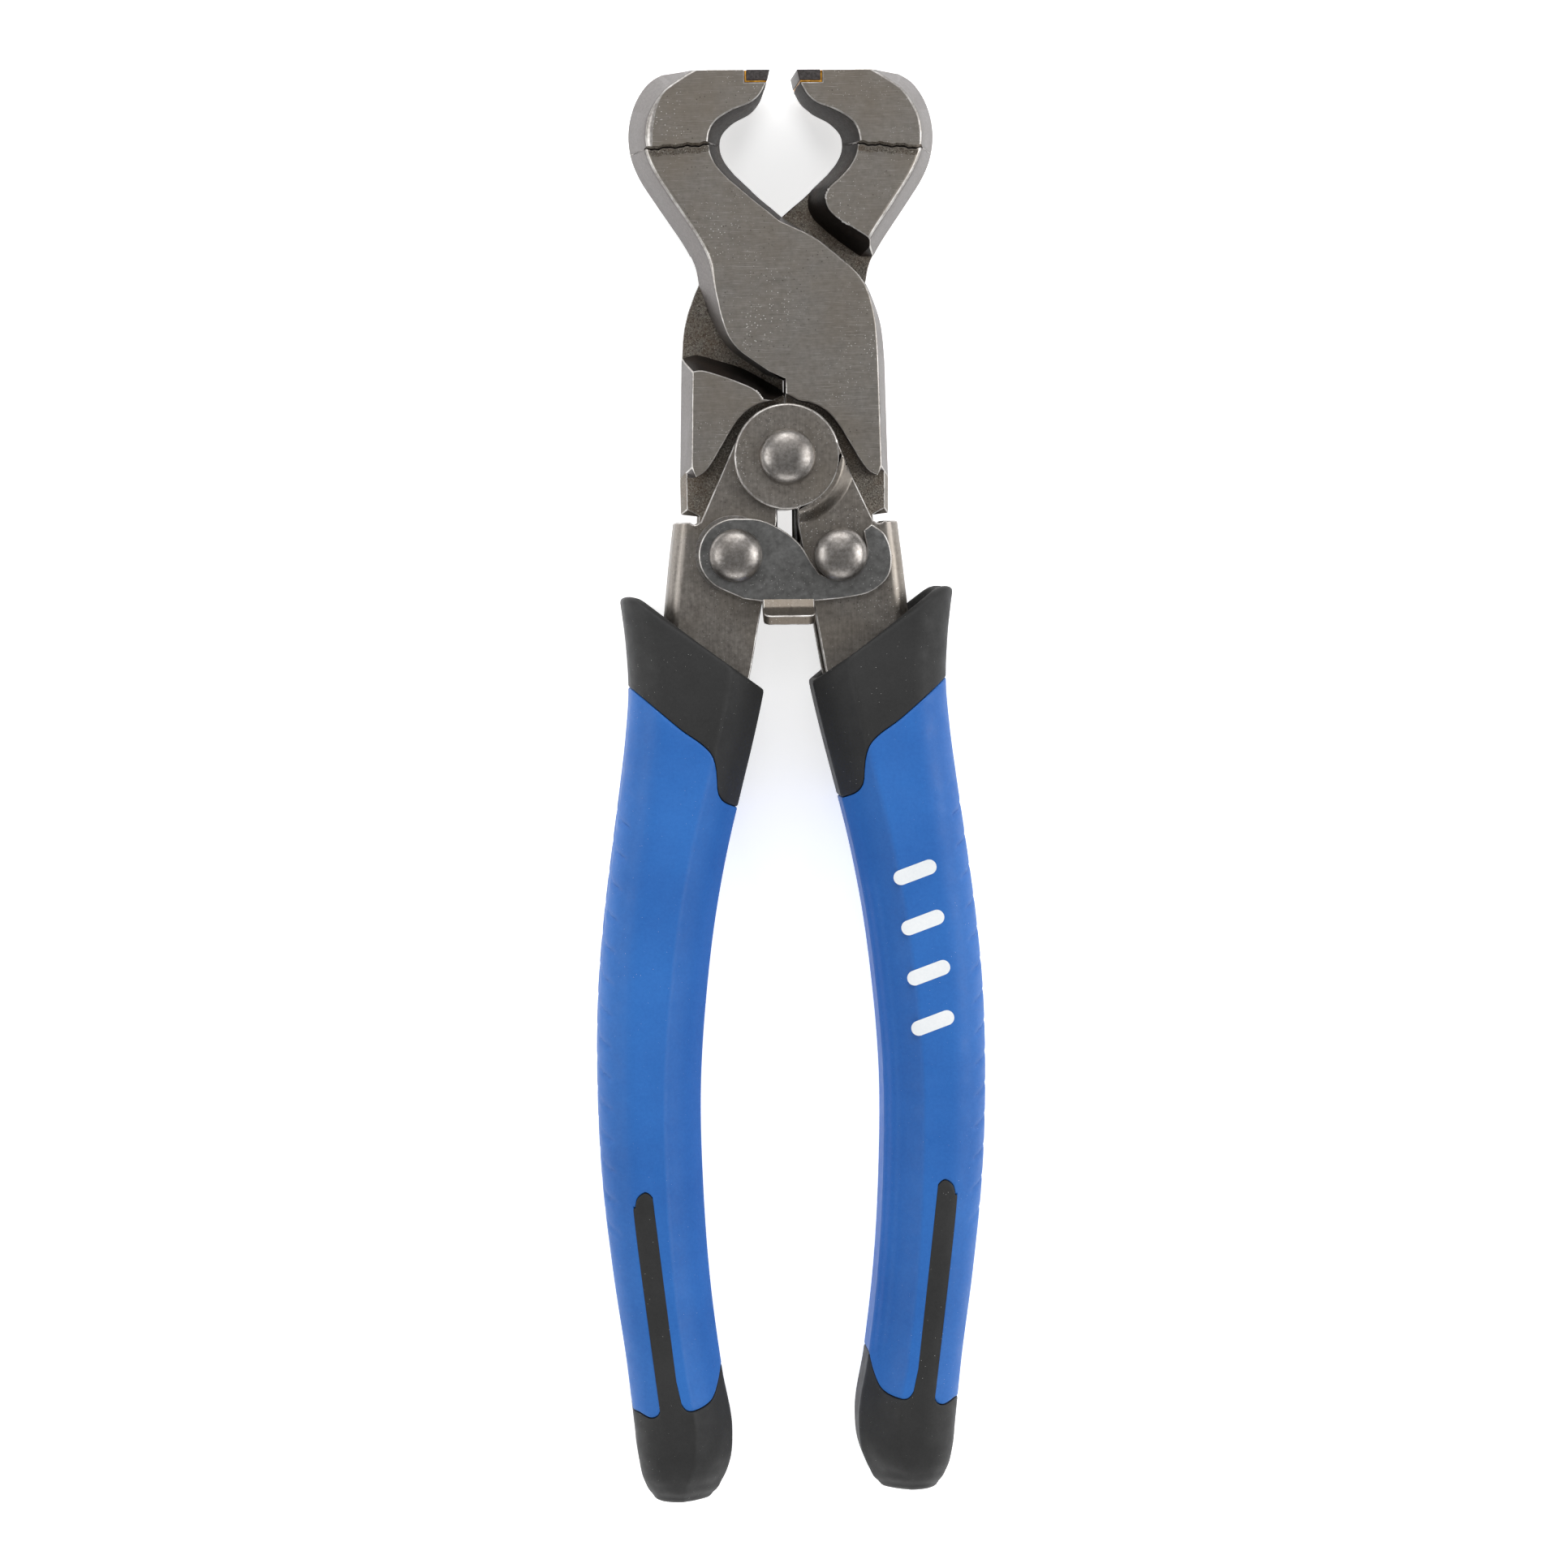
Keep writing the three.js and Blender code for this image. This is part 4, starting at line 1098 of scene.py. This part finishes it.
def palm_marks(y, points):
    """Depth of the fine chevrons cut in the palm side; they fade out towards both ends and corners."""
    palm = (COL_A == 3) & (COL_B == 0) | (COL_A == 0) & (COL_ANGLE < 1.0) | (COL_A == 3) & (COL_ANGLE > 5.28)
    z = points[:, 2]
    along = (y + np.abs(z) / 2) / CHEVRON_PITCH
    nearest = np.abs(along - np.round(along)) * CHEVRON_PITCH
    fade = np.clip((2 - y) / 4, 0, 1) * np.clip((y + 67) / 4, 0, 1) * np.clip((9.4 - np.abs(z)) / 0.8, 0, 1)
    return np.where(palm, CHEVRON_DEPTH * np.exp(-((nearest / CHEVRON_WIDTH) ** 2)) * fade, 0)


def inner_rib(y):
    """The mould leaves a slightly raised band along the side that faces the other grip."""
    near = (COL_A == 1) & (COL_B == 1)
    angle = np.degrees(COL_ANGLE) - 90
    band = np.exp(-(((angle - 66) / 11) ** 4))
    fade = np.clip((-12 - y) / 3, 0, 1) * np.clip((y + 85) / 3, 0, 1)
    return np.where(near, -0.16 * band * fade, 0)


def grip_cover():
    top, bottom, _ = cover_edges()
    waist = np.where(IN_STRIP, bottom + 0.3, bottom[IN_STRIP].min() + 0.3)
    rim = ((0.5, 0.0), (0.2, 0.03), (0.06, 0.12))
    rings = [grip_points(top - down, depth) for depth, down in (*rim, (0.0, 0.3))]
    for start, stop, rows in ((top - 0.3, waist, 180), (waist, bottom + 0.3, 70)):
        for y in np.linspace(start, stop, rows):
            rings.append(grip_points(y, palm_marks(y, grip_points(y, 0)) + inner_rib(y)))
    rings += [grip_points(bottom + up, depth) for depth, up in rim[::-1]]
    rings += [grip_points(y, COVER_THICK) for y in np.linspace(bottom, top, 31)]
    return loft("cover", rings, closed=True)


def channel_hole(y):
    """The hole round the channel, one point to each column of the grip."""
    y = np.broadcast_to(np.asarray(y, float), COL_ANGLE.shape)
    inner, outer = np.moveaxis(smooth_table(CHANNEL, y), -1, 0)
    mid, half_x, half_z = (inner + outer) / 2, (outer - inner) / 2 + 0.2, CHANNEL_OUTSIDE + 0.2
    shape = grip_points(y, 0)
    towards = np.column_stack([(shape[:, 0] - mid) / half_x, shape[:, 2] / half_z])
    reach = np.maximum(np.abs(towards[:, 0]), np.abs(towards[:, 1]))
    return np.column_stack([mid + towards[:, 0] / reach * half_x, y, towards[:, 1] / reach * half_z])


def grip_core(slip):
    """Black rubber: hole for the channel, pocket, lip, collar, body under the cover, end."""
    top, bottom, ends = cover_edges()
    lip = height_on(MOUTH, 0, 34)
    floor = lip - 6
    under = COVER_THICK + 0.15
    in_channel = [*np.linspace(CHANNEL_END_Y - 0.5, 0, 24), floor + slip]
    rings = [channel_hole(y) - np.array((0, slip, 0)) for y in in_channel]
    rings += [grip_points(floor + up, skin) for skin, up in ((2.6, 0), (1.9, 0.25))]
    rings += [grip_points(y, 1.7) for y in np.linspace(floor + 0.8, floor + 5.4, 5)]
    rings += [grip_points(lip - down, skin) for skin, down in
              ((1.62, 0.3), (1.4, 0.08), (1.1, 0.0), (0.6, 0.0), (0.3, 0.08), (0.09, 0.3))]
    rings += [grip_points(y, 0) for y in np.linspace(lip - 0.7, top + 0.35, 25)]
    rings += [grip_points(top + up, skin) for skin, up in ((0.05, 0.16), (0.2, 0.08), (0.5, 0.06))]
    rings += [grip_points(top + 0.06, under)]
    rings += [grip_points(y, under) for y in np.linspace(top - 0.06, bottom - 0.06, 31)[1:]]
    rings += [grip_points(bottom - down, skin) for skin, down in ((0.5, 0.06), (0.2, 0.08), (0.05, 0.16))]
    rings += [grip_points(y, 0) for y in np.linspace(bottom - 0.35, ends - 0.35, 41)]
    rings += [grip_points(y, 0) for y in np.linspace(ends - 0.35, -98.0, 17)[1:]]
    rings += [grip_points(y, 0) for y in -98.0 - 6.95 * np.sin(np.linspace(0, math.pi / 2, 22)[1:])]
    centre = rings[-1].mean(0)
    for share in (0.66, 0.33):
        last = centre + (rings[-1] - centre) * share
        last[:, 1] = -105.0
        rings.append(last)
    return loft("core", rings)


def surface_height(x, y):
    inner, outer, face = smooth_table(GRIP, y)
    off = max(inner + CORNER_R - x, x - (outer - CORNER_R), 0.0)
    return face - CORNER_R + math.sqrt(max(CORNER_R**2 - off**2, 0.0))


def print_bars():
    """A plain printed mark: four slanting bars, no lettering."""
    vertices, faces = [], []
    across, along = 10, 24
    for n in range(4):
        y0 = -12.6 - 7.4 * n
        inner, outer, _ = smooth_table(GRIP, y0)
        x0 = (inner + outer) / 2 - 0.35
        first = len(vertices)
        for i in range(along + 1):
            t = math.sin((i / along - 0.5) * math.pi) * 3.3
            over = max(abs(t) - 2.2, 0) / 1.1
            half = 1.1 * math.sqrt(max(1 - over * over, 0.0)) + 0.01
            for j in range(across + 1):
                s = (j / across * 2 - 1) * half
                x, y = x0 + t * 0.94 - s * 0.34, y0 + t * 0.34 + s * 0.94
                vertices.append((x, y + GRIP_SLIP, surface_height(x, y) + 0.02))
        for i in range(along):
            for j in range(across):
                a = first + i * (across + 1) + j
                faces.append((a, a + across + 1, a + across + 2, a + 1))
    return new_object("bars", vertices, faces)


for side, over, slip in (("right", False, GRIP_SLIP), ("left", True, -GRIP_SLIP)):
    for build, kind, look, place in ((grip_core(slip), "core", BLACK, "black_rubber"),
                                     (grip_cover(), "cover", BLUE, "blue_rubber")):
        build.data.transform(Matrix.Translation((0, slip, 0)))
        piece(build, f"{side}_grip_{kind}_skin", f"{side}_grip_{kind}", [look], over, 40, False)
bars = print_bars()
bars.data.transform(Matrix.Scale(MM, 4) @ Matrix.Translation((0, 0, MID_PLANE)))
bars.name = bars.data.name = "right_grip_print"
bars.data.materials.clear()
bars.data.materials.append(PRINT)
bars.data.shade_smooth()
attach(bars, "right_handle")


# ---- stage, lights and camera ----


def stage():
    bpy.ops.mesh.primitive_plane_add(size=6, location=(0, 0, -0.0002))
    floor = bpy.context.object
    floor.name = "floor"
    n = Nodes("floor_white")
    n.finish(rgb("fdfdfd"), 0.9, 0.0, None, Specular_IOR_Level=0.1, Emission_Color=(1, 1, 1, 1),
             Emission_Strength=0.62)
    floor.data.materials.append(n.material)


def softbox(name, azimuth, elevation, power, size, distance=0.9):
    data = bpy.data.lights.new(name, "AREA")
    data.shape, data.size, data.size_y, data.energy = "RECTANGLE", size[0], size[1], power
    lamp = bpy.data.objects.new(name, data)
    bpy.context.scene.collection.objects.link(lamp)
    a, e = math.radians(azimuth), math.radians(elevation)
    towards = Vector((math.cos(a) * math.cos(e), math.sin(a) * math.cos(e), math.sin(e)))
    lamp.location = towards * distance + Vector((0, 0.02, 0))
    lamp.rotation_euler = (-towards).to_track_quat("-Z", "Y").to_euler()


def studio():
    world = bpy.data.worlds.new("studio")
    world.use_nodes = True
    background = world.node_tree.nodes["Background"]
    background.inputs["Color"].default_value = (1, 1, 1, 1)
    background.inputs["Strength"].default_value = 0.2
    bpy.context.scene.world = world
    for place, azimuth, elevation, power, size in (
        ("top", 92, 34, 4.6, (0.7, 0.3)),
        ("left", 176, 36, 2.8, (0.5, 0.35)),
        ("right", 4, 36, 4.4, (0.5, 0.35)),
        ("near", -90, 30, 2.2, (0.7, 0.3)),
        ("key", 95, 70, 0.35, (0.2, 0.16)),
    ):
        softbox(f"softbox_{place}", azimuth, elevation, power, size)
    bpy.context.scene.view_settings.view_transform = "Standard"


CAMERA_AT = (-0.04465, 0.03333, 0.8105)
CAMERA_AIM = (-0.0005, 0.00077, 0.0105)
CAMERA_UP = (0.01035, 0.99995, 0)
LENS = 124.14  # mm, on a 36 mm sensor


def camera():
    data = bpy.data.cameras.new("camera")
    data.lens, data.sensor_width = LENS, 36
    data.clip_start, data.clip_end = 0.01, 20
    made = bpy.data.objects.new("camera", data)
    bpy.context.scene.collection.objects.link(made)
    forward = (Vector(CAMERA_AIM) - Vector(CAMERA_AT)).normalized()
    right = forward.cross(Vector(CAMERA_UP)).normalized()
    turn = Matrix((right, right.cross(forward), -forward)).transposed()
    made.matrix_world = Matrix.Translation(CAMERA_AT) @ turn.to_4x4()
    bpy.context.scene.camera = made


stage()
studio()
camera()
